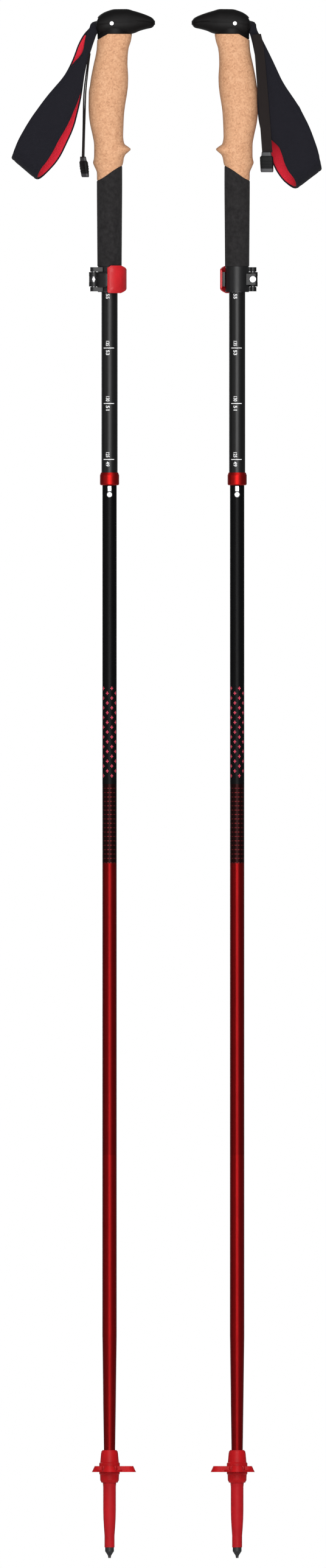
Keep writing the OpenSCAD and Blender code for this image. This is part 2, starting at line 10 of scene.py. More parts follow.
import bmesh
import bpy
import numpy as np
from mathutils import Vector
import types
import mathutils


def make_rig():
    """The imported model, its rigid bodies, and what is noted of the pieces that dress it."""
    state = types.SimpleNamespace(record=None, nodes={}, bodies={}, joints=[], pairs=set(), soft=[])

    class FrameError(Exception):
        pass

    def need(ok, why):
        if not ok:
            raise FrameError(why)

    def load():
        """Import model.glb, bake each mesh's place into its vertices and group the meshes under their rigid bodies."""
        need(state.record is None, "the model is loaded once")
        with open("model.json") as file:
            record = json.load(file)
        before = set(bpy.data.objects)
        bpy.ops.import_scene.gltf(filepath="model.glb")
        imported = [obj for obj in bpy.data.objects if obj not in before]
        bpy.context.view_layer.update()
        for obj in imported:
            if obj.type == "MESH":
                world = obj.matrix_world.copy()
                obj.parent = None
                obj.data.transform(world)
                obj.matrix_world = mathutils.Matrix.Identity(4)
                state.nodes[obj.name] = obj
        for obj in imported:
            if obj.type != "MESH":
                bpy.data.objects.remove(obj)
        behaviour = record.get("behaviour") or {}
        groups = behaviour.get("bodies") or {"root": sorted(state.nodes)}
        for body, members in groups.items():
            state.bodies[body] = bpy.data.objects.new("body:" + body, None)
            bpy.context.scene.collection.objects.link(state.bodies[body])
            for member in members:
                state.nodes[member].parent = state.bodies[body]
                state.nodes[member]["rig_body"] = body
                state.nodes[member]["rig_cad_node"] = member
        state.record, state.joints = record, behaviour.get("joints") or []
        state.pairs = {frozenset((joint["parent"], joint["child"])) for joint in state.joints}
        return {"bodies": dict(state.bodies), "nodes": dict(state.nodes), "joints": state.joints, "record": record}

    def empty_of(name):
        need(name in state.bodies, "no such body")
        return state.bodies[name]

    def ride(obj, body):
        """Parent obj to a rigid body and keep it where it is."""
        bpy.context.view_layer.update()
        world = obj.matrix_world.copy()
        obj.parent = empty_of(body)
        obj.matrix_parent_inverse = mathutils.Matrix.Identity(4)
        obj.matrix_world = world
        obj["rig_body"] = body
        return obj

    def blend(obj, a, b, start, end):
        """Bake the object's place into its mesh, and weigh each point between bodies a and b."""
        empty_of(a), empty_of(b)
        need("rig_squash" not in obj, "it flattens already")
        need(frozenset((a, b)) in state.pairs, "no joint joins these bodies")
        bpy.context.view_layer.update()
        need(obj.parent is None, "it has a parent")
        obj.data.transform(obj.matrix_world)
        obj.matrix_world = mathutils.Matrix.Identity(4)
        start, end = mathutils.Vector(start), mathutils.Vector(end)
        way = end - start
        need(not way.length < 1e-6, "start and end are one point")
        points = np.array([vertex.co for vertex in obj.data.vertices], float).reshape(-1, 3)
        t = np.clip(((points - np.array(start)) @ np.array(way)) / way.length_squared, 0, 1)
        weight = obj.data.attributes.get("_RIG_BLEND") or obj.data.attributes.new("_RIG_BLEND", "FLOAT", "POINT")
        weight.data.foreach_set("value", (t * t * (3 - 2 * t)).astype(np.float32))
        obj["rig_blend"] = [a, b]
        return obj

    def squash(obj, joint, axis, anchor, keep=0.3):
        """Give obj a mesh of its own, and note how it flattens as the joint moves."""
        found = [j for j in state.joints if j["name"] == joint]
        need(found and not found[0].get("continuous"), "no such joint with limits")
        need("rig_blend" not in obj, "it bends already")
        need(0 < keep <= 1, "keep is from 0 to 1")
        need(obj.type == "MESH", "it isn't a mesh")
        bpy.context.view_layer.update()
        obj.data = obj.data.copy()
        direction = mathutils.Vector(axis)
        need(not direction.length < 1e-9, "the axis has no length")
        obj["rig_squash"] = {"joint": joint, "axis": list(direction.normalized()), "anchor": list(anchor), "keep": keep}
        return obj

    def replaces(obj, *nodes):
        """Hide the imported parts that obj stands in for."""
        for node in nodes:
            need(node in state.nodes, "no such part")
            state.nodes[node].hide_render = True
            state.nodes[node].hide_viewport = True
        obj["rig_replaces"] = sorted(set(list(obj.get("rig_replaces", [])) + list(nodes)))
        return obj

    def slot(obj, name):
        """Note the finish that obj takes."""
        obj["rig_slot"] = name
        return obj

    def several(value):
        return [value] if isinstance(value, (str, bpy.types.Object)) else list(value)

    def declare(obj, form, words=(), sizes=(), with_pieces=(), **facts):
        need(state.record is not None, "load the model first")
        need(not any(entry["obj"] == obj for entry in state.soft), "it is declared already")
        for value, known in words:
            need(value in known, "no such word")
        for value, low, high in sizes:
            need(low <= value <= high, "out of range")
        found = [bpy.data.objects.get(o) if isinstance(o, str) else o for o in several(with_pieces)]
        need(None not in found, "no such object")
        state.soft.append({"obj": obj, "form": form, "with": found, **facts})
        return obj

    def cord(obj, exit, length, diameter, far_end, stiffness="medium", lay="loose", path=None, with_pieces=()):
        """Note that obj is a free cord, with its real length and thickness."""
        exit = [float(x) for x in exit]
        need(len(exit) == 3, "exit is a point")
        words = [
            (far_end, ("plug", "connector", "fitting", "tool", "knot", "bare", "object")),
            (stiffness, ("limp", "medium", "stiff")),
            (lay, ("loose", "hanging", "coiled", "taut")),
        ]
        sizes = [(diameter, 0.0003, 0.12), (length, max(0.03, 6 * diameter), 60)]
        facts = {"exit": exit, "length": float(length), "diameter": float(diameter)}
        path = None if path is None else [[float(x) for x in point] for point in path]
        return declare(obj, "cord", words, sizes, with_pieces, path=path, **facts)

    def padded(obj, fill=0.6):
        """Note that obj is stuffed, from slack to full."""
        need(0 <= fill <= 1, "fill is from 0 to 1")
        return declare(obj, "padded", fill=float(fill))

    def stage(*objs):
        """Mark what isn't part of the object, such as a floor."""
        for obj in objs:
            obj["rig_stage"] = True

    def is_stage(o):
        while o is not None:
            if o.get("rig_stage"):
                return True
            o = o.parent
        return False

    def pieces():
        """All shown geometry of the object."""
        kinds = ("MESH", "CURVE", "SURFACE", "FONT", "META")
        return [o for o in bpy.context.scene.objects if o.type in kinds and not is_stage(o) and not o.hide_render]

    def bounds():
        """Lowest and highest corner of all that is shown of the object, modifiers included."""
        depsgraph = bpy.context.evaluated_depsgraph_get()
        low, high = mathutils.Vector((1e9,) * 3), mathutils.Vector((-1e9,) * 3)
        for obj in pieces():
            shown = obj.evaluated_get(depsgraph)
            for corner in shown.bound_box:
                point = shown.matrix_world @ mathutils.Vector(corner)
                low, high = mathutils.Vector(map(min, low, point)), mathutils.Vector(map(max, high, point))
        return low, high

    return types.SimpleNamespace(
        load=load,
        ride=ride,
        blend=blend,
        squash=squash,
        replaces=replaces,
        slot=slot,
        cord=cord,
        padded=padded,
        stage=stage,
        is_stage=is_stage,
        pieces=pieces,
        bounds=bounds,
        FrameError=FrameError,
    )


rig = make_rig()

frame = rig.load()
cad_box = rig.bounds()
NODES = frame["nodes"]

MM = 0.001
POLE_X = {"left": -51.5, "right": 63.5}
GRIP_TURN = {"left": 1, "right": -1}  # the right grip is turned half round its axis
FRONT = {"left": -1, "right": 1}  # the local Y side of a grip that faces the camera


# ---- Camera, lights and floor ----

VIEW_HEIGHT = 1.412  # metres shown from the lower to the upper edge
VIEW_CENTRE = (-0.0033, 0.697)  # X and Z of the picture's middle
CAMERA_DISTANCE = 3.0
FLOOR_Z = -0.118  # below the tips of a pole that is pulled apart
FLOOR_SIZE, FLOOR_GLOW = 120, 0.5  # metres, and the glow that only the camera sees
ROOM_LIGHT = 0.2  # strength of the even light from all round
# Name, place, size and power of each light. All of them aim at the middle of the view
LIGHTS = (("front_key", (0.0, -2.4, 1.15), (1.3, 2.0), 50),
          ("left_fill", (-2.3, -1.3, 1.2), (0.7, 2.2), 4),
          ("top_fill", (0.4, -1.7, 2.9), (1.4, 0.9), 15),
          ("rear_fill", (-0.6, 2.4, 1.4), (1.4, 2.0), 14))


def add_object(name, data):
    obj = bpy.data.objects.new(name, data)
    bpy.context.scene.collection.objects.link(obj)
    return obj


def area_light(name, location, size, power):
    light = bpy.data.lights.new(name, "AREA")
    light.shape = "RECTANGLE"
    light.size, light.size_y = size
    light.energy = power
    obj = add_object(name, light)
    obj.location = location
    aim = Vector((0, 0, VIEW_CENTRE[1])) - Vector(location)
    obj.rotation_euler = aim.to_track_quat("-Z", "Y").to_euler()


def build_stage():
    camera = add_object("camera", bpy.data.cameras.new("camera"))
    camera.data.type = "ORTHO"
    camera.data.ortho_scale = VIEW_HEIGHT
    camera.location = (VIEW_CENTRE[0], -CAMERA_DISTANCE, VIEW_CENTRE[1])
    camera.rotation_euler = (pi / 2, 0, 0)
    bpy.context.scene.camera = camera
    bpy.context.scene.view_settings.view_transform = "Standard"
    for light in LIGHTS:
        area_light(*light)

    # The camera sees white behind the object, while the room lights it only dimly and evenly
    world = bpy.data.worlds.new("studio")
    world.use_nodes = True
    tree = world.node_tree
    room = tree.nodes["Background"]
    fill(tree, room.inputs["Color"], (0.96, 0.98, 1.0, 1))
    fill(tree, room.inputs["Strength"], ROOM_LIGHT)
    seen = add_node(tree, "Background", {"Color": (1, 1, 1, 1)})
    rays = add_node(tree, "LightPath", {})
    pick = add_node(tree, "MixShader", {0: rays.outputs["Is Camera Ray"], 1: room.outputs[0],
                                        2: seen.outputs[0]})
    fill(tree, tree.nodes["World Output"].inputs[0], pick.outputs[0])
    bpy.context.scene.world = world

    bpy.ops.mesh.primitive_plane_add(size=FLOOR_SIZE, location=(0, 0, FLOOR_Z))
    floor = bpy.context.object
    floor.name = "floor"
    paint = plain_finish("floor_paint", (0.86, 0.86, 0.865), 0.7)
    rays = add_node(paint.tree, "LightPath", {})
    paint.set(Emission_Color=(0.98, 0.99, 1.0, 1),
              Emission_Strength=Field(paint.tree, rays.outputs["Is Camera Ray"]) * FLOOR_GLOW)
    floor.data.materials.append(paint.material)
    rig.stage(floor)


# ---- Materials ----

def fill(tree, slot, value):
    """Links a node's input to a socket or Field, or sets it to a number or colour."""
    value = getattr(value, "socket", value)
    if isinstance(value, bpy.types.NodeSocket):
        tree.links.new(value, slot)
    else:
        slot.default_value = value


def add_node(tree, kind, inputs, **settings):
    """A shader node with these settings, and its inputs filled by name or number."""
    node = tree.nodes.new("ShaderNode" + kind)
    for name, value in settings.items():
        setattr(node, name, value)
    for key, value in inputs.items():
        fill(tree, node.inputs[key], value)
    return node


def operator(operation):
    """A method that builds a Math node from a Field and another Field or number."""
    return lambda self, other: self.math(operation, other)


class Field:
    """A number that varies over a surface. Its arithmetic builds Math nodes."""

    def __init__(self, tree, socket):
        self.tree, self.socket = tree, socket

    def math(self, operation, *others):
        inputs = dict(enumerate((self, *others)))
        node = add_node(self.tree, "Math", inputs, operation=operation)
        return Field(self.tree, node.outputs[0])

    __add__, __sub__ = operator("ADD"), operator("SUBTRACT")
    __mul__, __truediv__ = operator("MULTIPLY"), operator("DIVIDE")
    below, above = operator("LESS_THAN"), operator("GREATER_THAN")

    def from_middle(self):
        """How far the fraction is from a half: 0 on the middle line of each repeat."""
        return (self.math("FRACT") - 0.5).math("ABSOLUTE")


class Finish:
    """A Principled material with helpers for coordinates, textures, mixing and bump."""

    def __init__(self, name, colour, roughness, metallic=0.0):
        self.material = bpy.data.materials.new(name)
        self.material.use_nodes = True
        self.material.diffuse_color = (*colour, 1)
        self.tree = self.material.node_tree
        self.shader = self.tree.nodes["Principled BSDF"]
        self.bump_height = None
        self.set(Base_Color=(*colour, 1), Roughness=roughness, Metallic=metallic)

    def set(self, **values):
        """Fills the shader's own inputs, with _ for each space in a name."""
        for name, value in values.items():
            fill(self.tree, self.shader.inputs[name.replace("_", " ")], value)
        return self

    def node(self, kind, inputs, **settings):
        return add_node(self.tree, kind, inputs, **settings)

    def place(self):
        """The object's own coordinates, which every texture here uses unless told otherwise."""
        return self.node("TexCoord", {}).outputs["Object"]

    def axes(self, socket=None):
        node = self.node("SeparateXYZ", {0: socket or self.place()})
        return [Field(self.tree, out) for out in node.outputs]

    def uv(self):
        """Millimetres across and along a strap, from its UV layer."""
        return self.axes(self.node("TexCoord", {}).outputs["UV"])[:2]

    def vector(self, *fields):
        return self.node("CombineXYZ", dict(enumerate(fields))).outputs[0]

    def noise(self, scale, detail=4.0, roughness=0.55, vector=None):
        node = self.node("TexNoise", {"Vector": vector or self.place(), "Scale": scale,
                                      "Detail": detail, "Roughness": roughness})
        return Field(self.tree, node.outputs[0])

    def cells(self, scale, output="Distance"):
        node = self.node("TexVoronoi", {"Vector": self.place(), "Scale": scale})
        return Field(self.tree, node.outputs[output])

    def ramp(self, field, *stops):
        """Colours along a field: each stop is a position and a colour."""
        node = self.node("ValToRGB", {0: field})
        elements = node.color_ramp.elements
        while len(elements) < len(stops):
            elements.new(1.0)
        for element, (position, colour) in zip(elements, stops):
            element.position = position
            element.color = (*colour, 1)
        return node.outputs[0]

    def mix(self, amount, first, second):
        """Colour first where amount is 0 and second where it is 1."""
        first, second = (c if isinstance(c, bpy.types.NodeSocket) else (*c, 1)
                         for c in (first, second))
        return self.node("Mix", {0: amount, 6: first, 7: second}, data_type="RGBA").outputs[2]

    def paint(self, socket):
        return self.set(Base_Color=socket)

    def rough(self, field, low, high):
        """Roughness from low to high as a field goes from 0 to 1."""
        return self.set(Roughness=field * (high - low) + low)

    def bump(self, field, height_mm, strength=1.0):
        """Relief from a field, on top of the relief that is there already."""
        node = self.node("Bump", {"Strength": strength, "Distance": height_mm * MM,
                                  "Height": field})
        if self.bump_height is not None:
            fill(self.tree, node.inputs["Normal"], self.bump_height)
        self.bump_height = node.outputs[0]
        return self.set(Normal=self.bump_height)


def shade_of(colour, factor):
    """A lighter or darker shade of a colour."""
    return [min(1, c * factor) for c in colour]


def plain_finish(name, colour, roughness):
    finish = Finish(name, colour, roughness)
    grain = finish.noise(40)
    return finish.paint(finish.ramp(grain, (0.3, shade_of(colour, 0.97)), (0.7, colour)))


def moulded_plastic(name, colour, roughness, coat, shine):
    """Injection-moulded plastic: a fine spark-eroded grain and slight gloss changes."""
    finish = Finish(name, colour, roughness)
    fine = finish.noise(1500, 3)
    broad = finish.noise(60, 2)
    finish.paint(finish.ramp(broad, (0.3, shade_of(colour, 0.86)), (0.7, shade_of(colour, 1.1))))
    finish.rough(broad, roughness - 0.07, roughness + 0.09)
    finish.bump(fine, 0.008)
    return finish.set(Coat_Weight=coat, Coat_Roughness=0.2, Specular_IOR_Level=shine).material


def brushed_metal(name, colour, roughness, turned=True):
    """Turned or drawn metal, with fine marks round or along its axis."""
    finish = Finish(name, colour, roughness, 1.0)
    x, y, z = finish.axes()
    squeezed = (x * 0.05, y * 0.05, z) if turned else (x, y, z * 0.02)
    marks = finish.noise(5000, 2, vector=finish.vector(*squeezed))
    broad = finish.noise(90, 2)
    finish.paint(finish.ramp(broad, (0.3, shade_of(colour, 0.88)), (0.7, colour)))
    finish.rough(marks, roughness - 0.06, roughness + 0.12)
    finish.bump(marks, 0.004)
    return finish.material


def cork_material():
    """Pressed cork: granules of several browns, with pits."""
    finish = Finish("cork", (0.66, 0.36, 0.20), 0.78)
    granules = finish.cells(760, "Color")
    fine = finish.noise(2600, 3)
    tone = finish.noise(150, 3)
    blended = granules * 0.34 + fine * 0.36 + tone * 0.30
    finish.paint(finish.ramp(
        blended, (0.26, (0.40, 0.180, 0.085)), (0.38, (0.56, 0.280, 0.145)),
        (0.55, (0.66, 0.355, 0.195)), (0.80, (0.74, 0.445, 0.270))))
    pits = finish.cells(900)
    finish.bump(pits, 0.07, 0.5)
    finish.bump(fine, 0.05, 0.5)
    finish.rough(fine, 0.7, 0.9)
    return finish.material


def foam_material():
    """Dark closed-cell foam, with open pores on its skin."""
    finish = Finish("foam", (0.020, 0.018, 0.019), 0.92)
    pores = finish.cells(1600)
    tone = finish.noise(260, 4)
    finish.paint(finish.ramp(tone, (0.3, (0.013, 0.012, 0.0125)), (0.7, (0.025, 0.0235, 0.024))))
    finish.bump(pores, 0.08, 0.8)
    finish.bump(tone, 0.12, 0.4)
    return finish.set(Sheen_Weight=0.03, Sheen_Roughness=0.6, Specular_IOR_Level=0.15).material


def webbing_material(name, colour, thread_mm):
    """Plain-woven webbing: threads across and along, from the strap's UV layer in millimetres."""
    finish = Finish(name, colour, 0.8)
    across, along = finish.uv()
    warp, weft = across / thread_mm, along / (thread_mm * 0.8)
    shifted = weft + warp.math("FLOOR") * 0.5
    hump = warp.from_middle() * -2 + shifted.from_middle() * -1.6 + 1.8
    fuzz = finish.noise(2200, 3)
    # The colour follows the relief: the hollows between threads are painted darker, painted shade, and the crowns
    # lighter, a painted highlight, with random fuzz
    finish.paint(finish.ramp(hump * 0.35 + fuzz * 0.4, (0.2, shade_of(colour, 0.45)),
                             (0.75, shade_of(colour, 1.7))))
    finish.bump(hump, 0.12, 0.8)
    return finish.set(Sheen_Weight=0.04, Sheen_Roughness=0.5, Specular_IOR_Level=0.15).material


def knit_material(name, colour, pitch_mm):
    """Air-mesh knit: staggered dimples between soft loops."""
    finish = Finish(name, colour, 0.85)
    across, along = finish.uv()
    row = along / pitch_mm
    column = across / pitch_mm + row.math("FLOOR") * 0.5
    dimple = column.from_middle() * column.from_middle() + row.from_middle() * row.from_middle()
    fuzz = finish.noise(1900, 3)
    # The colour follows the relief: the dimples are painted darker than the loops, painted shade, with random fuzz
    finish.paint(finish.ramp(dimple * 1.6 + fuzz * 0.35, (0.1, shade_of(colour, 0.5)),
                             (0.55, shade_of(colour, 1.25))))
    finish.bump(dimple, 0.35, 0.7)
    finish.bump(fuzz, 0.06, 0.5)
    return finish.set(Sheen_Weight=0.08, Sheen_Roughness=0.45, Specular_IOR_Level=0.2).material


def tube_finish(name, colour, roughness, metallic, shine):
    """A drawn tube: lengthwise draw marks, small scuffs and slight gloss changes."""
    finish = Finish(name, colour, roughness, metallic)
    x, y, z = finish.axes()
    drawn = finish.noise(2600, 2, vector=finish.vector(x, y, z * 0.03))
    scuffs = finish.noise(420, 5, 0.7, finish.vector(x, y, z * 0.35))
    finish.rough(drawn * 0.5 + scuffs * 0.5, roughness - 0.09, roughness + 0.12)
    finish.bump(drawn, 0.003)
    return finish.set(Specular_IOR_Level=shine)


def around(finish, pole):
    """Distance round a tube from the line that faces the camera, and height, both in mm."""
    x, y, z = finish.axes()
    angle = (x - POLE_X[pole] * MM).math("ARCTAN2", y * -1)
    return angle * SHAFT_R, z * (1 / MM)


SHAFT_R = 6.45
BLACK = (0.002, 0.002, 0.0022)
ANODISED_RED = (0.18, 0.0021, 0.0026)
PRINT_RED = (0.56, 0.060, 0.10)
GRID_BLACK, GRID_RED = (0.015, 0.003, 0.003), (0.13, 0.014, 0.016)
PRINT_WHITE = (0.80, 0.80, 0.80)
COLUMNS = 50  # whole repeats that keep a column's number above 0
# The crosses: spacing round and along the tube, half sizes, and the lowest and highest place
CROSS_ROUND, CROSS_ALONG = 4.22, 8.75
CROSS_WIDE, CROSS_TALL, CROSS_ARM = 1.35, 1.55, 0.42
CROSS_LOW, CROSS_TOP = 702.5, 785
# The grid's dashes: spacing, half sizes, the band's lower edge and the grid's upper edge
GRID_ROUND, GRID_ALONG, DASH_WIDE, DASH_TALL = 3.1, 3.95, 0.95, 0.45
BAND_LOW, GRID_TOP = 625.6, 693.5


def black_shaft_material(pole):
    """The black tube, with a print of small staggered crosses above its foot."""
    finish = tube_finish(f"{pole}_black_shaft", BLACK, 0.42, 0.0, 0.09)
    round_mm, height = around(finish, pole)
    column = round_mm / CROSS_ROUND + COLUMNS
    row = height / CROSS_ALONG + column.math("FLOOR") * 0.5
    across, up = column.from_middle() * CROSS_ROUND, row.from_middle() * CROSS_ALONG
    upright = across.below(CROSS_ARM) * up.below(CROSS_TALL)
    bar = across.below(CROSS_WIDE) * up.below(CROSS_ARM)
    inside = height.above(CROSS_LOW) * height.below(CROSS_TOP)
    cross = upright.math("MAXIMUM", bar) * inside
    return finish.paint(finish.mix(cross, BLACK, PRINT_RED)).material


def red_shaft_material(name, pole, banded):
    """Anodised red tube; the middle tube's top has a black band with a fine red grid."""
    finish = tube_finish(name, ANODISED_RED, 0.37, 0.8, 0.2)
    tone = finish.noise(30, 2)
    base = shade_of(ANODISED_RED, 1 if banded else 1.22)
    red = finish.ramp(tone, (0.3, shade_of(base, 0.9)), (0.7, base))
    if banded:
        round_mm, height = around(finish, pole)
        column, row = round_mm / GRID_ROUND + COLUMNS, height / GRID_ALONG
        dash = ((column.from_middle() * GRID_ROUND).below(DASH_WIDE)
                * (row.from_middle() * GRID_ALONG).below(DASH_TALL))
        grid = dash * height.below(GRID_TOP)
        red = finish.mix(height.above(BAND_LOW), red, finish.mix(grid, GRID_BLACK, GRID_RED))
    return finish.paint(red).material


# ---- Geometry helpers ----

def to_row(points, pole, turned=True):
    """Millimetres in a pole's own frame to metres in the row frame."""
    turn = GRIP_TURN[pole] if turned else 1
    p = np.asarray(points, float) * (turn, turn, 1) + (POLE_X[pole], 0, 0)
    return p * MM


def mesh_piece(name, points, faces, material, pole, turned=True, smooth_deg=40, uvs=None):
    """A mesh object from millimetre points. Edges sharper than smooth_deg stay crisp."""
    mesh = bpy.data.meshes.new(name)
    mesh.from_pydata([tuple(p) for p in to_row(points, pole, turned)], [], faces)
    if uvs is not None:
        layer = mesh.uv_layers.new(name="cloth")
        corner = np.zeros(len(mesh.loops), int)
        mesh.loops.foreach_get("vertex_index", corner)
        layer.data.foreach_set("uv", np.asarray(uvs, np.float32)[corner].ravel())
    made = bmesh.new()
    made.from_mesh(mesh)
    bmesh.ops.recalc_face_normals(made, faces=made.faces)
    made.to_mesh(mesh)
    made.free()
    obj = add_object(name, mesh)
    mesh.materials.append(material)
    shade(obj, smooth_deg)
    return obj


def shade(obj, smooth_deg):
    """Smooth shading that keeps edges sharper than smooth_deg."""
    obj.data.shade_smooth()
    obj.data.set_sharp_from_angle(angle=radians(smooth_deg))


def loft(rings, closed=False):
    """Points and faces through rings of equally many points, with flat ends unless closed."""
    rings = np.asarray(rings, float)
    count, per = rings.shape[:2]
    faces = []
    for i in range(count if closed else count - 1):
        a, b = i * per, (i + 1) % count * per
        faces += [(a + k, a + (k + 1) % per, b + (k + 1) % per, b + k) for k in range(per)]
    if not closed:
        faces += [tuple(range(per))[::-1], tuple((count - 1) * per + k for k in range(per))]
    return rings.reshape(-1, 3), faces


def join_parts(parts):
    """Several sets of points and faces as one."""
    points, faces = [], []
    for part_points, part_faces in parts:
        faces += [tuple(i + len(points) for i in f) for f in part_faces]
        points += [tuple(p) for p in part_points]
    return points, faces


def circle(radius, count, centre=(0, 0)):
    return [(centre[0] + radius * cos(a), centre[1] + radius * sin(a))
            for a in np.linspace(0, tau, count, endpoint=False)]


def arc_sweep(half_section, start_deg, end_deg, count, centre):
    """Rings of a section swept round a vertical axis. The lower half of the section is given,
    as radius and height from the centre, and its upper half mirrors it."""
    section = [*half_section, *((r, -h) for r, h in half_section[::-1])]
    return [[(centre[0] + r * cos(a), centre[1] + r * sin(a), centre[2] + h)
             for r, h in section] for a in np.radians(np.linspace(start_deg, end_deg, count))]


def bent_plate(outline, layers, from_deg, to_deg, low, high):
    """Rings of a plate bent round the pole. The outline is in shares of the plate's size from
    its middle, and each layer is a scale of the outline and a radius."""
    rings = []
    for scale, radius in layers:
        ring = []
        for u, v in outline:
            angle = radians((from_deg + to_deg) / 2 + u * scale * (to_deg - from_deg))
            ring.append((radius * cos(angle), radius * sin(angle),
                         (low + high) / 2 + v * scale * (high - low)))
        rings.append(ring)
    return rings


def distances(path):
    """How far along a path each of its points is."""
    return np.concatenate([[0], np.cumsum(np.linalg.norm(np.diff(path, axis=0), axis=1))])


def length_of(path):
    """A path's whole length in metres."""
    return float(distances(path)[-1]) * MM


def eased(rows, at):
    """Values between the rows of a table, by a smooth curve that never overshoots them."""
    rows = np.asarray(rows, float)
    x, y = rows[:, 0], rows[:, 1:]
    step = np.diff(x)[:, None]
    slope = np.diff(y, axis=0) / step
    tangent = np.zeros_like(y)
    same = slope[1:] * slope[:-1] > 0
    mean = 2 * slope[1:] * slope[:-1] / np.where(same, slope[1:] + slope[:-1], 1)
    tangent[1:-1] = np.where(same, mean, 0)
    tangent[0], tangent[-1] = slope[0], slope[-1]
    at = np.atleast_1d(at)
    i = np.clip(np.searchsorted(x, at) - 1, 0, len(x) - 2)
    t = ((at - x[i]) / step[i, 0])[:, None]
    h = step[i]
    return (y[i] * (1 + 2 * t) * (1 - t) ** 2 + tangent[i] * h * t * (1 - t) ** 2
            + y[i + 1] * t * t * (3 - 2 * t) + tangent[i + 1] * h * t * t * (t - 1))


def oval(half_x, half_y, power, angle):
    """A point of an oval whose power sets how square it is."""
    c, s = cos(angle), sin(angle)
    return (half_x * copysign(abs(c) ** (2 / power), c),
            half_y * copysign(abs(s) ** (2 / power), s))


def cut(obj, cutter):
    """Removes the cutter's space from a piece."""
    modifier = obj.modifiers.new("cut", "BOOLEAN")
    modifier.object, modifier.solver = cutter, "EXACT"
    mesh = bpy.data.meshes.new_from_object(obj.evaluated_get(bpy.context.evaluated_depsgraph_get()))
    obj.modifiers.clear()
    obj.data = mesh
    bpy.data.objects.remove(cutter)


# ---- Grip: cap, cork and foam ----

SEAM_Z, SEAM_LIFT, SEAM_CURVE, SEAM_HALF = 1247.0, 4.6, 2.0, 11.4
CORK_TOP_Z, CORK_STEP_X, CORK_TOP_SLOPE = 1372.5, -1.5, 0.544
GRIP_TUBE_R = 8.4
CAP_SLOT = ((-30, -7.8, 1377.4), (6.2, 7.8, 1386.6))  # opposite corners of the strap's slot
PIN_AT, PIN_HOLE_R = (2.0, 1382.0), 1.75  # X and Z of the strap's cross pin
# The cap's rim: middle, half length and half width, top, gap above the cork, size of its hole
RIM_X, RIM_HALF, RIM_TOP_Z, RIM_GAP, RIM_HOLE = 4.6, (15.5, 12.9), 1377.5, 0.05, 0.72
# The crease round the cap and the lower edge of its rougher top panel, which is painted lighter as a painted highlight,
# in shares of its height
CREASE_AT, CREASE_WIDE, CREASE_DEPTH, PANEL_HIGHLIGHT_FROM = 0.08, 0.06, 0.45, 0.045
# Place along X, lower edge, upper edge and half width of the cap
CAP_ROWS = [
    [-11.6, 1376.5, 1384.5, 9], [-11, 1374.5, 1386.8, 10.5], [-8.8, 1372, 1389.4, 12],
    [-3, 1371, 1392.7, 13.2], [5, 1371, 1394.8, 13.6], [15, 1371.5, 1394.9, 13],
    [22, 1373, 1393.2, 12], [28, 1375.4, 1391.4, 10.8], [34, 1377.0, 1389.2, 9.2],
    [37.4, 1377.7, 1387.6, 8.0], [39.4, 1378.9, 1386.1, 6.2], [40.4, 1380.4, 1384.6, 3.6]]
# Height, rear edge, front edge and half width of the cork
CORK_ROWS = [
    [1236, -11.3, 11.4, 11.3], [1247, -11.4, 11.5, 11.6], [1253.5, -13.8, 11.6, 12.0],
    [1256.6, -14.9, 12.3, 13.1], [1260.3, -14.1, 12.9, 12.2], [1263.6, -13.9, 14.2, 12.4],
    [1266.6, -13.9, 17.6, 12.3], [1268.6, -13.9, 19.2, 12.3], [1270.6, -13.9, 17.2, 12.5],
    [1273.5, -14, 13.4, 12.8], [1280, -15.1, 12.3, 13.6], [1293, -17.8, 12.7, 14.8],
    [1300, -18.6, 13.1, 15.3], [1306.5, -18.9, 13.8, 15.6], [1319.6, -18.7, 15.9, 15.6],
    [1326, -17.7, 16.6, 15.2], [1333, -16.7, 16.8, 14.6], [1346, -14.1, 16.2, 13.6],
    [1352.6, -12.6, 16.4, 13.2], [1359, -11.6, 17.1, 12.9], [1366, -11.2, 19.2, 12.8],
    [1374, -11.1, 20.6, 12.8]]
# Height and radius of the foam
FOAM_ROWS = [[1163, 10.95], [1200, 11.2], [1240, 11.45], [1262, 11.4]]


def seam_height(x):
    """The gently S-shaped seam between foam and cork, higher in front."""
    share = max(-1.0, min(1.0, x / SEAM_HALF))
    return SEAM_Z + SEAM_LIFT * share + SEAM_CURVE * sin(share * pi / 2)


def cork_top(x):
    """The cork's upper end: flat in front and sloping down behind."""
    return CORK_TOP_Z - max(0.0, CORK_STEP_X - x) * CORK_TOP_SLOPE


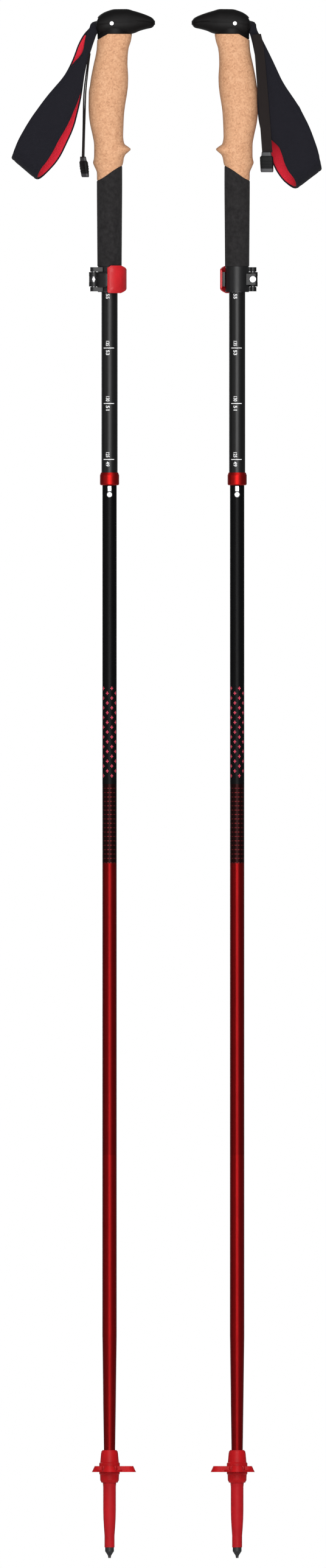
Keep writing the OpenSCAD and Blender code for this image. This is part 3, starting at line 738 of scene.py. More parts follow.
def build_cap(pole, material, panel_highlight_material):
    """The cap: a long rounded beak with a crease round it and a rougher top panel, painted lighter as a painted
    highlight from above.
    """
    per, rounding = 144, 0.6
    places = np.concatenate([[CAP_ROWS[0][0]], np.linspace(-11.2, 40.1, 74),
                             [CAP_ROWS[-1][0]]])
    rings = []
    for x, (low, high, half) in zip(places, eased(CAP_ROWS, places)):
        ring = []
        for k in range(per):
            y, z = oval(half, (high - low) / 2, 2.4, k * tau / per)
            crease = bell(2 * z / (high - low), CREASE_AT, CREASE_WIDE) * CREASE_DEPTH
            pull = 1 - crease / hypot(y, z)
            ring.append((x, y * pull, (low + high) / 2 + z * pull))
        rings.append(ring)
    for end, step in ((0, -1), (-1, 1)):
        flat = np.array(rings[end])
        middle = flat.mean(axis=0)
        shrunk = middle + (flat - middle) * 0.8
        shrunk[:, 0] += step * rounding
        rings.insert(0, shrunk) if end == 0 else rings.append(shrunk)
    cap = mesh_piece(f"{pole}_cap", *loft(rings), material, pole, smooth_deg=50)
    (x0, y0, z0), (x1, y1, z1) = CAP_SLOT
    slot = [[(x0, y0, z), (x1, y0, z), (x1, y1, z), (x0, y1, z)] for z in (z0, z1)]
    bore = [[(x, y, z) for x, z in circle(PIN_HOLE_R, 32, PIN_AT)] for y in (-20, 20)]
    for name, hole in (("slot", slot), ("bore", bore)):
        cut(cap, mesh_piece(name, *loft(hole), None, pole))
    cap.data.materials.append(panel_highlight_material)
    turn = GRIP_TURN[pole]
    # Upward faces above the panel's lower edge take the panel finish: rougher, and painted lighter as a painted
    # highlight
    for face in cap.data.polygons:
        x, y, z = face.center / MM
        x = (x - POLE_X[pole]) * turn
        low, high = eased(CAP_ROWS, x)[0, :2]
        if z > (low + high) / 2 + (high - low) * PANEL_HIGHLIGHT_FROM and face.normal.z > -0.1 and x > -11:
            face.material_index = 1
    shade(cap, 50)
    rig.ride(cap, f"{pole}_grip_body")
    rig.slot(cap, "cap_plastic")
    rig.replaces(cap, f"{pole}_top_cap")


def build_rim(pole, material):
    """The cap's lower rim, which runs down over the back of the cork."""
    outline = [oval(*RIM_HALF, 2, k * tau / 96) for k in range(96)]
    # Scale of each ring, and its lift over the cork, or None at the rim's flat top
    rows = ((0.95, 0), (1 - 0.2 / 14, 0.25), (1, 0.8), (1, 3.0), (1, None), (RIM_HOLE, None),
            (RIM_HOLE, 0))
    rings = [[(RIM_X + x * scale, y * scale,
               RIM_TOP_Z if lift is None else cork_top(RIM_X + x) + RIM_GAP + lift)
              for x, y in outline] for scale, lift in rows]
    rim = mesh_piece(f"{pole}_cap_rim", *loft(rings, closed=True), material, pole)
    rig.ride(rim, f"{pole}_grip_body")
    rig.slot(rim, "cap_plastic")


def sleeve(name, outline, low, high, pole, material, levels, rounding):
    """A closed sleeve on the grip tube. outline(z, angle) gives its skin in X and Y,
    and low(x) and high(x) its end faces, with rounded outer edges."""
    per = 96
    shares = np.concatenate([[0, 0.002, 0.006], np.linspace(0.012, 0.988, levels),
                             [0.994, 0.998, 1]])
    insets = np.zeros(len(shares))
    insets[:3] = insets[-3:][::-1] = rounding, rounding * 0.4, rounding * 0.1
    grid = np.zeros((len(shares), per, 3))
    for k in range(per):
        angle = k * tau / per
        for j, (share, inset) in enumerate(zip(shares, insets)):
            x, y = outline(low(0) + share * (high(0) - low(0)), angle)
            for _ in range(4):
                z = low(x) + share * (high(x) - low(x))
                x, y = outline(z, angle)
            pull = 1 - inset / hypot(x, y)
            grid[j, k] = x * pull, y * pull, z
    inner = []
    for edge in (grid[-1], grid[0]):
        ring = edge.copy()
        ring[:, :2] *= GRIP_TUBE_R / np.hypot(ring[:, :1], ring[:, 1:2])
        inner.append(ring)
    rings = np.concatenate([grid, inner])
    return mesh_piece(name, *loft(rings, closed=True), material, pole, smooth_deg=60)


def build_cork(pole, material):
    low, high, steps = CORK_ROWS[0][0], CORK_ROWS[-1][0], 699
    table = eased(CORK_ROWS, np.linspace(low, high, steps + 1))

    def outline(z, angle):
        share = min(steps - 0.001, max(0.0, (z - low) / (high - low) * steps))
        i = int(share)
        rear, front, half = table[i] + (table[i + 1] - table[i]) * (share - i)
        x, y = oval((front - rear) / 2, half, 2.15, angle)
        return x + (front + rear) / 2, y

    cork = sleeve(f"{pole}_cork", outline, seam_height, cork_top, pole, material, 100, 0.5)
    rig.ride(cork, f"{pole}_grip_body")
    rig.replaces(cork, f"{pole}_cork_grip")
    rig.slot(cork, "cork")


def build_foam(pole, material):
    """The round foam sleeve below the cork."""
    def outline(z, angle):
        radius = float(eased(FOAM_ROWS, z)[0, 0])
        return radius * cos(angle), radius * sin(angle)

    foam = sleeve(f"{pole}_foam", outline, lambda x: FOAM_ROWS[0][0], seam_height, pole,
                  material, 44, 1.0)
    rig.ride(foam, f"{pole}_grip_body")
    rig.replaces(foam, f"{pole}_foam_grip")
    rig.padded(foam, fill=1.0)
    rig.slot(foam, "foam")


# ---- Wrist straps ----

HINGE = (-14.6, 1381.5)  # X and Z of the line that a loop swings about
SLOT_DEPTH, SLOT_DIRECTION = 6.5, np.array([0.95, 0.3])  # how its ends run into the cap
NECK_TWIST, NECK_HALF = 7.0, 6.5  # where it has turned flat, and its half width there
WEB_GAP = 1.45  # half the distance between its two ends in the slot
LOOP_R = 12.3  # radius of its fold
SHELL_T, LINING_T, TAPE_T = 1.5, 1.2, 0.65
PADDED_FROM, PADDED_TO = 12, 34  # where the padding thickens, in mm from the hinge
SMOOTH_OVER = (-6, -3, 0, 3, 6)  # the places that each outline reading is a mean of
# A loop's lean from straight down in degrees, its hinge to its fold's end, how far the front
# layer's edges step in from the whole outline beside the neck and beside the fold, where the
# second step starts, and the skew of the fold
STRAPS = {"left": (39.4, 140.0, 6.2, 8.2, 40, 0.02), "right": (30.4, 144.0, 0.6, 11.0, 80, 0.13)}


def strap_direction(pole):
    """The way a loop hangs, in X and Z."""
    turn = radians(90 + STRAPS[pole][0])
    return np.array([cos(turn), -sin(turn)])


def outline_of(node, pole, along, across):
    """For stations along a strap, the lowest and highest place across it of its CAD solid."""
    mesh = NODES[node].data
    points = np.array([v.co for v in mesh.vertices], float) / MM
    flat = np.stack([(points[:, 0] - POLE_X[pole]) * GRIP_TURN[pole] - HINGE[0],
                     points[:, 2] - HINGE[1]], axis=1)
    s, t = flat @ along, flat @ across
    edges = np.array([e.vertices for e in mesh.edges])
    s0, s1, t0, t1 = s[edges[:, 0]], s[edges[:, 1]], t[edges[:, 0]], t[edges[:, 1]]

    def span(at):
        hit = (np.minimum(s0, s1) <= at) & (np.maximum(s0, s1) >= at) & (abs(s1 - s0) > 1e-6)
        crossing = t0[hit] + (t1[hit] - t0[hit]) * (at - s0[hit]) / (s1[hit] - s0[hit])
        return crossing.min(), crossing.max()

    return span


def bell(at, middle, width):
    """1 at the middle, falling smoothly to 0 on both sides."""
    return exp(-((at - middle) / width) ** 2)


def rise(at, start, end):
    """0 before start, 1 after end and a smooth step between them."""
    t = min(1.0, max(0.0, (at - start) / (end - start)))
    return t * t * (3 - 2 * t)


def strap_stations(pole):
    """Stations along a loop, out to its fold and back: centre, direction across, half width and
    place for each, with the direction ahead and the distance so far."""
    _, reach, neck_step, fold_step, fold_from, skew = STRAPS[pole]
    front = FRONT[pole]
    along = strap_direction(pole)
    across = np.array([-along[1], along[0]])
    span = outline_of(f"{pole}_strap_loop", pole, along, across)
    round_s = reach - LOOP_R - 1.3
    plan = [(s, 1.0, 0.0) for s in np.linspace(-SLOT_DEPTH, round_s, 74)[:-1]]
    plan += [(round_s, cos(a), sin(a)) for a in np.linspace(0, pi, 25)]
    plan += [(s, -1.0, 0.0) for s in np.linspace(round_s, -SLOT_DEPTH, 74)[1:]]
    rows = []
    for s, side, bend in plan:
        at = s + bend * LOOP_R * 0.98
        low, high = np.mean([span(min(max(at + step, 1.5), reach - 1.5))
                             for step in SMOOTH_OVER], axis=0)
        frontness = (1 + side) / 2
        low += frontness * neck_step * bell(s, 24, 13)
        high += 1.4 * bell(s, 6, 8)
        high -= frontness * fold_step * rise(s, fold_from, 110) * (1 - 0.3 * rise(s, 112, reach))
        twist = (1 - rise(s, -7, NECK_TWIST)) * pi / 2
        half = NECK_HALF + ((high - low) / 2 - NECK_HALF) * rise(s, -4, 7)
        middle = (low + high) / 2 + 1.6 * bell(s, 0, 6) - side * WEB_GAP * bell(s, -SLOT_DEPTH, 9)
        depth = front * side * (LOOP_R - 1.0)
        if not bend:
            depth *= (rise(s, -8, round_s + 20) / rise(round_s, -8, round_s + 20)) ** 0.75
        base = np.array(HINGE) + along * (max(s, 0) + bend * LOOP_R)
        base = base + across * middle - min(s, 0) * SLOT_DIRECTION
        centre = np.array([base[0], depth, base[1]])
        lean = skew * rise(s, 60, 140)
        flat_across = np.array([across[0] + lean * along[0], 0, across[1] + lean * along[1]])
        centre[::2] += along * lean * 12
        wide = flat_across * cos(twist) + np.array([0, front * sin(twist), 0])
        rows.append((centre, wide, half, s))
    centres = np.array([r[0] for r in rows])
    ahead = np.gradient(centres, axis=0)
    ahead /= np.linalg.norm(ahead, axis=1)[:, None]
    return rows, ahead, distances(centres)


def strap_skin(pole, name, material, low_t, high_t, inset, ends, crown):
    """One layer of a strap: a padded ribbon between two offsets from the middle surface, inset
    from its edges and starting and ending some stations from its ends."""
    rows, ahead, so_far = strap_stations(pole)
    front = FRONT[pole]
    profile = [0, 0.02, 0.06, 0.10, 0.13, 0.16, 0.24, 0.36, 0.5, 0.64, 0.76, 0.84, 0.87, 0.90,
               0.94, 0.98, 1]
    groove = {0.13: 0.35, 0.87: 0.35, 0.10: 0.12, 0.16: 0.12, 0.84: 0.12, 0.90: 0.12}
    rings, uvs = [], []
    for i in range(ends, len(rows) - ends):
        centre, wide, half, s = rows[i]
        across = wide - ahead[i] * (wide @ ahead[i])
        across /= np.linalg.norm(across)
        normal = np.cross(across, ahead[i]) * front
        padded = rise(s, PADDED_FROM, PADDED_TO)
        width = half - inset
        ring = []
        for k, share in enumerate(profile + profile[::-1]):
            place, height = (2 * share - 1) * width, low_t
            if k < len(profile):
                edge = 1 - abs(2 * share - 1) ** 6
                height += (high_t - low_t) * (0.45 + 0.55 * min(1, edge * 3))
                height += crown * padded * edge - groove.get(share, 0) * padded
            ring.append(centre + across * place + normal * height)
            uvs.append((place, so_far[i]))
        rings.append(ring)
    return mesh_piece(name, *loft(rings), material, pole, smooth_deg=70, uvs=uvs)


def build_strap(pole, shell_material, lining_material):
    """A wrist loop: its woven shell and its knitted lining, which turn about the cap's slot."""
    x, z = strap_direction(pole)
    start, end = to_row([(HINGE[0] + x * far, 0, HINGE[1] + z * far)
                         for far in (-2.5, 3.5)], pole)
    shell = strap_skin(pole, f"{pole}_strap_shell", shell_material, 0.0, SHELL_T, 0.0, 0, 0.5)
    lining = strap_skin(pole, f"{pole}_strap_lining", lining_material, -LINING_T, 0.05, 1.3,
                        10, -0.1)
    for piece, slot in ((shell, "webbing"), (lining, "strap_fabric")):
        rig.blend(piece, f"{pole}_grip_body", f"{pole}_strap_body", start=start, end=end)
        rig.slot(piece, slot)
        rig.padded(piece, fill=0.3)
    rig.replaces(shell, f"{pole}_strap_loop")


def ribbon(name, path, across, width, gaps, material, pole, body):
    """A doubled flat woven tape along a path. across gives its width direction at each point
    and gaps the clear space between its two layers."""
    path = np.asarray(path, float)
    ahead = np.gradient(path, axis=0)
    so_far = distances(path)
    lower = [(-1, -0.5), (-0.96, -0.85), (-0.8, -1), (-0.4, -1), (0, -1), (0.4, -1), (0.8, -1),
             (0.96, -0.85), (1, -0.5)]
    profile = lower + [(-u, -v) for u, v in lower]
    layers, uvs = [], []
    for side in (-1, 1):
        rings = []
        for point, forward, wide, far, gap in zip(path, ahead, across, so_far, gaps):
            forward = forward / np.linalg.norm(forward)
            wide = np.asarray(wide, float)
            wide = wide - forward * (wide @ forward)
            wide /= np.linalg.norm(wide)
            normal = np.cross(wide, forward)
            middle = point + normal * side * (gap + TAPE_T) / 2
            rings.append([middle + wide * u * width / 2 + normal * v * TAPE_T / 2
                          for u, v in profile])
            uvs += [(u * width / 2, far) for u, v in profile]
        layers.append(loft(rings))
    piece = mesh_piece(name, *join_parts(layers), material, pole, smooth_deg=70, uvs=uvs)
    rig.ride(piece, f"{pole}_{body}")
    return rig.slot(piece, "webbing")


def smooth_path(points, count):
    """A smooth curve through a few points, as evenly spaced points."""
    points = np.asarray(points, float)
    so_far = distances(points)
    return eased(np.column_stack([so_far, points]), np.linspace(0, so_far[-1], count))


# Path of each strap's tail, the way its width points at its two ends, and its width
TAILS = {
    "left": ([(-17.9, 0, 1355), (-20.4, 0.2, 1337), (-22.4, 0, 1316), (-23.0, 0, 1292),
              (-23.8, 0, 1261)], [(0.05, 1, 0), (0.12, 1, 0)], 10.0),
    "right": ([(-17.4, 6.4, 1372), (-19.4, 7.6, 1362), (-23.0, 11.4, 1320), (-27.2, 14.8, 1265.5)],
              [(0.75, 0.5, 0), (1, 0.12, 0)], 9.2)}
# Place of each pull tab's neck, its turn about Z in degrees and its lean
TABS = {"left": ((-24.0, 0, 1262.0), 25.0, 0.12), "right": ((-26.4, 15.2, 1266.5), 80.0, -0.03)}
# The ridges across a tab and its two paler bands, in mm below the neck
RIDGE_FROM, RIDGE_TO, RIDGE_PITCH, RIDGE_H = 8.2, 15.1, 2.3, 0.35
TAB_BANDS = ((0.6, 3.6), (15.4, 19))
# Height below the neck, width and thickness of a tab
TAB_ROWS = [[0, 8.0, 2.6], [0.8, 8.6, 3.0], [3.8, 9.4, 3.4], [4.6, 11.4, 4.0], [5.4, 12.0, 4.4],
            [9.0, 12.0, 4.4], [13.0, 11.8, 4.0], [17.6, 11.5, 3.5], [18.6, 10.4, 2.6]]


def build_tail(pole, tail_material, tab_material, tab_light):
    """The strap's free end, a doubled tape, and the ridged pull tab moulded on it."""
    points, (top_across, low_across), width = TAILS[pole]
    shares = np.linspace(0, 1, 40)
    path = smooth_path(points, len(shares))
    across = [np.array(top_across) * (1 - t) + np.array(low_across) * t for t in shares]
    gaps = 0.25 + 1.1 * np.sin(shares * pi) ** 2 * (1 - shares)
    tail = ribbon(f"{pole}_strap_tape", path, across, width, gaps, tail_material, pole,
                  "strap_body")
    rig.replaces(tail, f"{pole}_strap_tail")

    (x0, y0, z0), turn, lean = TABS[pole]
    spin = radians(turn)
    heights = np.concatenate([np.linspace(0, 5.4, 8), np.linspace(5.6, 7.2, 5),
                              np.linspace(7.8, 18.6, 28)])
    rings = []
    for h, (wide, thick) in zip(heights, eased(TAB_ROWS, heights)):
        ridge = RIDGE_H * max(0.0, sin((h - RIDGE_FROM) * tau / RIDGE_PITCH)) * (
            RIDGE_FROM < h < RIDGE_TO)
        ring = []
        for k in range(40):
            u, v = oval(wide / 2, thick / 2 + ridge, 4.5, k * tau / 40)
            ring.append((x0 + lean * h - u * sin(spin) + v * cos(spin),
                         y0 + u * cos(spin) + v * sin(spin), z0 - h))
        rings.append(ring)
    tab = mesh_piece(f"{pole}_tab", *loft(rings), tab_material, pole, smooth_deg=50)
    tab.data.materials.append(tab_light)
    for face in tab.data.polygons:
        h = z0 - face.center.z / MM
        face.material_index = int(any(top < h < low for top, low in TAB_BANDS))
    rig.ride(tab, f"{pole}_strap_body")
    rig.replaces(tab, f"{pole}_pull_tab")
    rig.slot(tab, "tab_plastic")
    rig.cord(tail, exit=to_row(path[:1], pole)[0], length=length_of(path), diameter=width * MM,
            far_end="fitting", stiffness="medium", lay="hanging", path=to_row(path, pole),
            with_pieces=[tab])


# ---- Clamp pad and lock button ----

PAD_LOW, PAD_HIGH, PAD_FROM, PAD_TO, PAD_R = 1139.0, 1164.0, 262.0, 366.0, 15.4
PAD_INNER_R = 13.45
PAD_SIZE, PAD_STEP = (27, 25), 0.8  # about its size in mm, and the spacing of its edge points
# The pad's outline as shares of its width and height, with a chamfer at each right corner
PAD_OUTLINE = [(0.0, 0.06), (0.04, 0.0), (0.50, 0.0), (0.94, 0.14), (1.0, 0.20), (1.0, 0.82),
               (0.94, 0.87), (0.50, 1.0), (0.12, 1.0), (0.0, 0.92)]


def build_pad(pole, material):
    """The lever's pad: a chamfered plate bent round the pole, with soft edges."""
    corners = np.array(PAD_OUTLINE + PAD_OUTLINE[:1])
    outline = []
    for a, b in zip(corners[:-1], corners[1:]):
        steps = max(2, int(np.linalg.norm((b - a) * PAD_SIZE) / PAD_STEP))
        outline += [a + (b - a) * i / steps - 0.5 for i in range(steps)]
    inner = PAD_INNER_R
    layers = [(0.02, inner), (0.5, inner), (0.9, inner), (0.985, inner), (1.0, inner + 0.25)]
    layers += [(scale, PAD_R - drop) for scale, drop in (
        (1.0, 0.75), (0.985, 0.3), (0.955, 0.06), (0.93, 0.02), (0.90, 0.28), (0.87, 0.3),
        (0.84, 0.06), (0.6, 0), (0.3, 0), (0.02, 0))]
    rings = bent_plate(outline, layers, PAD_FROM, PAD_TO, PAD_LOW, PAD_HIGH)
    pad = mesh_piece(f"{pole}_pad_cover", *loft(rings), material, pole, smooth_deg=35)
    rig.ride(pad, f"{pole}_lever_body")
    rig.replaces(pad, f"{pole}_lever_pad")
    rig.slot(pad, "red_plastic")


ARM_FROM, ARM_TO, ARM_LOW, ARM_HIGH = 214.0, 268.0, 1144.2, 1157.6
ARM_INNER_R, ARM_R = 11.3, 15.1


def build_arm(pole, material):
    """The rounded block of the lever between its pin and its pad."""
    outline = [oval(0.5, 0.5, 5.5, k * tau / 64) for k in range(64)]
    layers = [(0.05, ARM_INNER_R), (0.97, ARM_INNER_R), (1.0, ARM_INNER_R + 0.3)]
    layers += [(scale, ARM_R - drop) for scale, drop in (
        (1.0, 1.0), (0.975, 0.45), (0.92, 0.12), (0.84, 0), (0.5, 0), (0.05, 0))]
    rings = bent_plate(outline, layers, ARM_FROM, ARM_TO, ARM_LOW, ARM_HIGH)
    arm = mesh_piece(f"{pole}_lever_arm", *loft(rings), material, pole, smooth_deg=50)
    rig.ride(arm, f"{pole}_lever_body")
    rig.slot(arm, "clamp_plastic")


KNUCKLE_AT, KNUCKLE_R = (-14.2, -6.5, 1151.5), 4.2


def build_saddle(pole, material):
    """The clamp's curved rest behind the screw, between the lever's knuckles."""
    section = [(2.6, -2.3), (2.8, -2.5), (3.9, -2.5), (KNUCKLE_R, -2.2)]
    saddle = mesh_piece(f"{pole}_clamp_saddle", *loft(arc_sweep(section, 132, 194, 18, KNUCKLE_AT)),
                        material, pole)
    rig.ride(saddle, f"{pole}_grip_body")
    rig.slot(saddle, "clamp_plastic")


# Height of the lock button, its radius, its face, its back, and the top of its latch block
BUTTON_Z, BUTTON_R, BUTTON_FACE_Y, BUTTON_BACK_Y, LATCH_TOP_Z = 957.6, 2.6, -8.6, -5.1, 965.4


def build_button(pole, material, gap_shade):
    """The sprung lock button: a domed round stud, its latch block and its base strip. The strip and the hidden backs
    are black, painted shade for the gap round the stud.
    """
    stud = [[(x, y, z) for x, z in circle(radius, 48, (0, BUTTON_Z))] for radius, y in (
        (BUTTON_R, BUTTON_BACK_Y), (BUTTON_R, BUTTON_FACE_Y + 0.5),
        (BUTTON_R - 0.15, BUTTON_FACE_Y + 0.15), (BUTTON_R - 0.5, BUTTON_FACE_Y),
        (1.5, BUTTON_FACE_Y + 0.02), (1.3, BUTTON_FACE_Y + 0.25), (0.2, BUTTON_FACE_Y + 0.3))]

    def slab(wide, low, high, y):
        return [(-wide, y, low), (wide, y, low), (wide, y, high), (-wide, y, high)]

    block = [slab(1.7 - inset, BUTTON_Z + 2.95 + inset, LATCH_TOP_Z - inset, y)
             for inset, y in ((0, BUTTON_BACK_Y), (0, -7.9), (0.12, -8.15), (0.4, -8.2))]
    strip = [slab(2.3, BUTTON_Z - 3.4, BUTTON_Z + 7, y) for y in (-4.6, BUTTON_BACK_Y)]
    parts = join_parts([loft(stud), loft(block), loft(strip)])
    button = mesh_piece(f"{pole}_lock_stud", *parts, material, pole, turned=False, smooth_deg=45)
    button.data.materials.append(gap_shade)
    # Painted shade: the base strip and the backs behind the stud take black plastic, so that the gap round the stud
    # looks dark
    for face in button.data.polygons:
        face.material_index = int(face.center.y > (BUTTON_BACK_Y - 0.1) * MM)
    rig.squash(button, f"{pole}_shaft_release", axis=(0, 1, 0), anchor=(POLE_X[pole] * MM, 0, 0),
              keep=0.68)
    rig.ride(button, f"{pole}_button_body")
    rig.replaces(button, f"{pole}_lock_button")
    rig.slot(button, "steel")


def build_spring(pole, material):
    """The open ring of flat wire behind the button, which flattens when it is pressed."""
    section = [(3.55, -1.35), (3.62, -1.45), (3.88, -1.45), (3.95, -1.35)]
    rings = arc_sweep(section, 122, 418, 60, (0, 0, BUTTON_Z))
    spring = mesh_piece(f"{pole}_spring_ring", *loft(rings), material, pole, turned=False)
    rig.squash(spring, f"{pole}_button_press", axis=(0, 1, 0),
              anchor=(POLE_X[pole] * MM, 4 * MM, 0), keep=0.72)
    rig.ride(spring, f"{pole}_black_body")
    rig.replaces(spring, f"{pole}_button_spring")
    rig.slot(spring, "steel")


# ---- Printed scale ----

UPPER_R = 7.25
PRINT_LIFT = 0.03
# Length in centimetres, the same in inches, and the height of the mark
SCALE_MARKS = ((140, 55, 1140.3), (135, 53, 1089.6), (130, 51, 1039.7), (125, 49, 989.3))
TICK_FROM, TICK_TO, TICK_H = -5.9, 4.4, 0.7
# A turned number: its width round the tube, its length along it, its middle and its offset
DIGIT_H, DIGIT_LONG, DIGIT_X, DIGIT_GAP = 3.4, 4.5, -1.7, 4.1


def wrapped(points):
    """Flat millimetre points (x, z) wrapped on the tube, x measured round from the line that
    faces the camera."""
    radius = UPPER_R + PRINT_LIFT
    angle = points[:, 0] / radius - pi / 2
    return np.column_stack([radius * np.cos(angle), radius * np.sin(angle), points[:, 1]])


def tick(z, columns=10):
    """A scale's short line on the tube, as points and faces."""
    flat = np.array([(x, z + side * TICK_H / 2) for side in (-1, 1)
                     for x in np.linspace(TICK_FROM, TICK_TO, columns + 1)])
    return wrapped(flat), [(i, i + 1, i + columns + 2, i + columns + 1) for i in range(columns)]


def digits(text, length, height):
    """Points (x, z) and faces of a number that fills a box of this size, centred, in mm."""
    curve = bpy.data.curves.new("number", "FONT")
    curve.body, curve.offset = text, 0.02
    obj = bpy.data.objects.new("number", curve)
    mesh = bpy.data.meshes.new_from_object(obj)
    # Cut into narrow strips, so that its faces follow the tube round
    made = bmesh.new()
    made.from_mesh(mesh)
    heights = [v.co.y for v in made.verts]
    for y in np.linspace(min(heights), max(heights), 11)[1:-1]:
        bmesh.ops.bisect_plane(made, geom=made.verts[:] + made.edges[:] + made.faces[:],
                               plane_co=(0, y, 0), plane_no=(0, 1, 0))
    made.to_mesh(mesh)
    made.free()
    flat = np.array([(v.co.x, v.co.y) for v in mesh.vertices])
    faces = [tuple(f.vertices) for f in mesh.polygons]
    bpy.data.objects.remove(obj)
    bpy.data.meshes.remove(mesh)
    low, high = flat.min(axis=0), flat.max(axis=0)
    return (flat - (low + high) / 2) / (high - low) * (length, height), faces


def build_scale(pole, material):
    """Length marks in centimetres and inches on the side of the upper tube that shows."""
    parts = []
    for centimetres, inches, z in SCALE_MARKS:
        parts.append(tick(z))
        for number, middle in ((centimetres, z + DIGIT_GAP), (inches, z - DIGIT_GAP)):
            flat, faces = digits(str(number), DIGIT_LONG, DIGIT_H)
            turned = np.column_stack([DIGIT_X + flat[:, 1], middle - flat[:, 0]])
            parts.append((wrapped(turned), faces))
    scale = mesh_piece(f"{pole}_length_marks", *join_parts(parts), material, pole, turned=False)
    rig.ride(scale, f"{pole}_upper_body")


# ---- Pieces inside: the webbing round the cross pin and the tension cord ----

WEB_R, WEB_LONG, WEB_WIDE = 2.45, 13, 14.6
CORD_LOW_Z, CORD_TOP_Z, CORD_R = 200.0, 1168.0, 1.0
BRAID_DEPTH, BRAID_STRANDS, BRAID_PITCH = 0.07, 8, 9.0


def build_anchor(pole, material):
    """The strap's webbing where it turns round the cross pin inside the cap."""
    turn = np.linspace(pi / 2, -pi / 2, 20)
    flat = [(x, WEB_R) for x in np.linspace(-WEB_LONG, -0.5, 12)]
    flat += [(WEB_R * cos(a), WEB_R * sin(a)) for a in turn]
    flat += [(x, -WEB_R) for x in np.linspace(-0.5, -WEB_LONG, 12)]
    path = [(PIN_AT[0] + x, 0, PIN_AT[1] + z) for x, z in flat]
    anchor = ribbon(f"{pole}_pin_webbing", path, [(0, 1, 0)] * len(path), WEB_WIDE,
                    [0.1] * len(path), material, pole, "grip_body")
    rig.replaces(anchor, f"{pole}_strap_anchor")


def build_cord(pole, material):
    """The braided tension cord: strands wound round a straight core."""
    per = 16
    heights = np.linspace(CORD_TOP_Z, CORD_LOW_Z, 1601)
    rings = []
    for z in heights:
        ring = []
        for k in range(per):
            angle = k * tau / per
            weave = cos(BRAID_STRANDS * angle / 2) * cos(z * tau / BRAID_PITCH * 4)
            radius = CORD_R - BRAID_DEPTH + BRAID_DEPTH * weave
            ring.append((radius * cos(angle), radius * sin(angle), z))
        rings.append(ring)
    cord = mesh_piece(f"{pole}_braided_cord", *loft(rings), material, pole, turned=False)
    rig.ride(cord, f"{pole}_upper_body")
    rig.replaces(cord, f"{pole}_tension_cord")
    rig.slot(cord, "cord")
    path = [(0, 0, z) for z in heights[::40]]
    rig.cord(cord, exit=to_row(path[:1], pole, False)[0], length=length_of(path),
            diameter=2 * CORD_R * MM, far_end="object", stiffness="limp", lay="taut",
            path=to_row(path, pole, False))


# ---- Putting it together ----

def cord_material():
    """Pale braid: rows across the cord and a little fuzz."""
    finish = Finish("cord", (0.62, 0.62, 0.60), 0.7)
    z = finish.axes()[2]
    weave = (z * 900).from_middle() * 2
    fuzz = finish.noise(3000, 3)
    # The colour follows the relief: the low parts of the weave are painted darker, painted shade, and the high parts
    # lighter, with random fuzz
    finish.paint(finish.ramp(weave * 0.5 + fuzz * 0.5, (0.2, (0.34, 0.34, 0.33)),
                             (0.7, (0.74, 0.74, 0.72))))
    finish.bump(weave, 0.08)
    return finish.set(Sheen_Weight=0.2).material


def dress(node, material):
    """A CAD node keeps its shape and takes a material and smooth shading."""
    obj = NODES[node]
    obj.data.materials.clear()
    obj.data.materials.append(material)
    shade(obj, 32)


# The CAD nodes that each finish is for
LOOKS = {"steel": "strap_pin lever_pin tension_screw", "black_plastic": "strap_wedge",
         "satin_black": "grip_tube upper_tube", "clamp": "clamp_band clamp_lever",
         "bush": "guide_bush cord_anchor", "collar": "release_collar",
         "cone": "middle_cone lower_cone", "tip": "flex_tip", "red_plastic": "basket",
         "tip_black": "carbide_tip"}


def build_pole(pole, finishes):
    build_tail(pole, finishes["tape"], finishes["tab"], finishes["tab_light"])
    build_cord(pole, finishes["cord"])
    build_cap(pole, finishes["cap"], finishes["cap_panel"])
    build_rim(pole, finishes["cap"])
    build_cork(pole, finishes["cork"])
    build_foam(pole, finishes["foam"])
    build_strap(pole, finishes["strap"], finishes["lining"])
    build_anchor(pole, finishes["tape"])
    build_pad(pole, finishes["pad"])
    build_arm(pole, finishes["clamp"])
    build_saddle(pole, finishes["clamp"])
    # The button's black plastic is painted shade on its base strip, behind the gap round the stud
    build_button(pole, finishes["steel"], finishes["black_plastic"])
    build_spring(pole, finishes["spring"])
    build_scale(pole, finishes["print"])
    for finish, nodes in LOOKS.items():
        for node in nodes.split():
            dress(f"{pole}_{node}", finishes[finish])
    dress(f"{pole}_black_tube", black_shaft_material(pole))
    dress(f"{pole}_middle_tube", red_shaft_material(f"{pole}_banded_red", pole, True))
    dress(f"{pole}_lower_tube", red_shaft_material(f"{pole}_plain_red", pole, False))


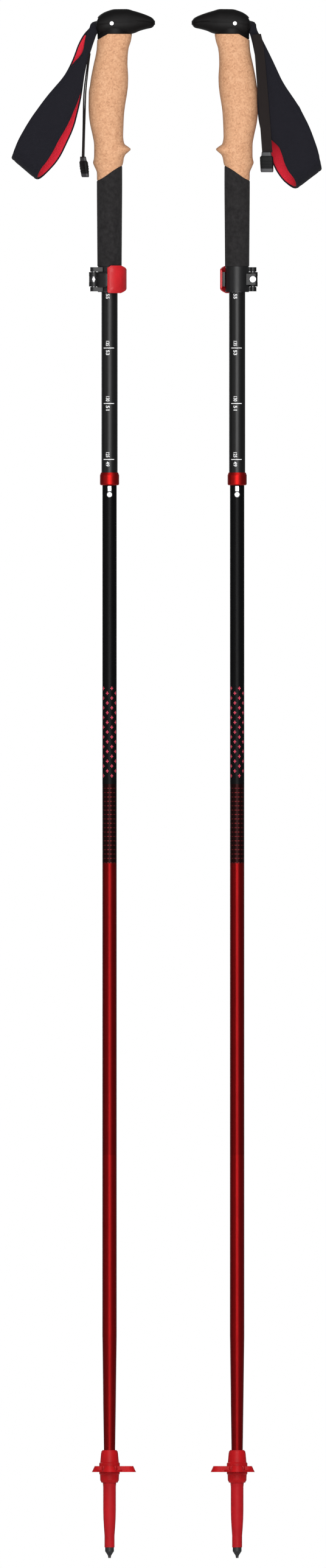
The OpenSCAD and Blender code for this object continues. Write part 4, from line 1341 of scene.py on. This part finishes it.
# Name, colour, roughness, coat and shine of each moulded plastic
PLASTICS = {
    "cap": ("cap_plastic", (0.0042, 0.0036, 0.0035), 0.46, 0, 0.12),
    # The cap's top panel: rougher, and painted lighter than the cap as a painted highlight
    "cap_panel": ("cap_panel", (0.006, 0.0055, 0.0055), 0.55, 0, 0.13),
    "black_plastic": ("black_plastic", (0.008, 0.008, 0.008), 0.5, 0, 0.3),
    "clamp": ("clamp_plastic", (0.006, 0.006, 0.0065), 0.42, 0, 0.35),
    "tab": ("tab_plastic", (0.006, 0.006, 0.006), 0.5, 0, 0.14),
    "tab_light": ("tab_band", (0.045, 0.045, 0.048), 0.5, 0, 0.5),
    "pad": ("pad_plastic", (0.52, 0.012, 0.017), 0.40, 0.1, 0.25),
    "red_plastic": ("basket_plastic", (0.48, 0.005, 0.008), 0.44, 0, 0.15),
    "tip": ("tip_plastic", (0.45, 0.007, 0.012), 0.48, 0, 0.16),
    "tip_black": ("tip_black", (0.014, 0.014, 0.015), 0.45, 0, 0.5),
    "bush": ("bush_plastic", (0.35, 0.35, 0.36), 0.5, 0, 0.5)}


def build_finishes():
    """Every finish that both poles share, by name."""
    satin = tube_finish("satin_black", (0.003, 0.003, 0.003), 0.40, 0.0, 0.36)
    plastics = {key: moulded_plastic(*row) for key, row in PLASTICS.items()}
    return plastics | {
        "steel": brushed_metal("steel", (0.52, 0.52, 0.53), 0.36),
        "spring": brushed_metal("spring_steel", (0.45, 0.45, 0.47), 0.35, turned=False),
        "cone": brushed_metal("cone_metal", (0.66, 0.66, 0.68), 0.32),
        "collar": brushed_metal("collar_red", (0.40, 0.011, 0.010), 0.42),
        "cork": cork_material(),
        "foam": foam_material(),
        "strap": webbing_material("strap_webbing", (0.0078, 0.0075, 0.0115), 0.7),
        "tape": webbing_material("strap_tape", (0.015, 0.011, 0.0105), 0.5),
        "lining": knit_material("strap_lining", (0.60, 0.016, 0.034), 1.15),
        "cord": cord_material(),
        "print": plain_finish("scale_print", PRINT_WHITE, 0.5).material,
        "satin_black": satin.material,
    }


build_stage()
shared = build_finishes()
for side in POLE_X:
    build_pole(side, shared)

with open("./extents.json", "w") as size_file:
    json.dump({"cad": [list(c) for c in cad_box], "visual": [list(c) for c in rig.bounds()]},
              size_file)
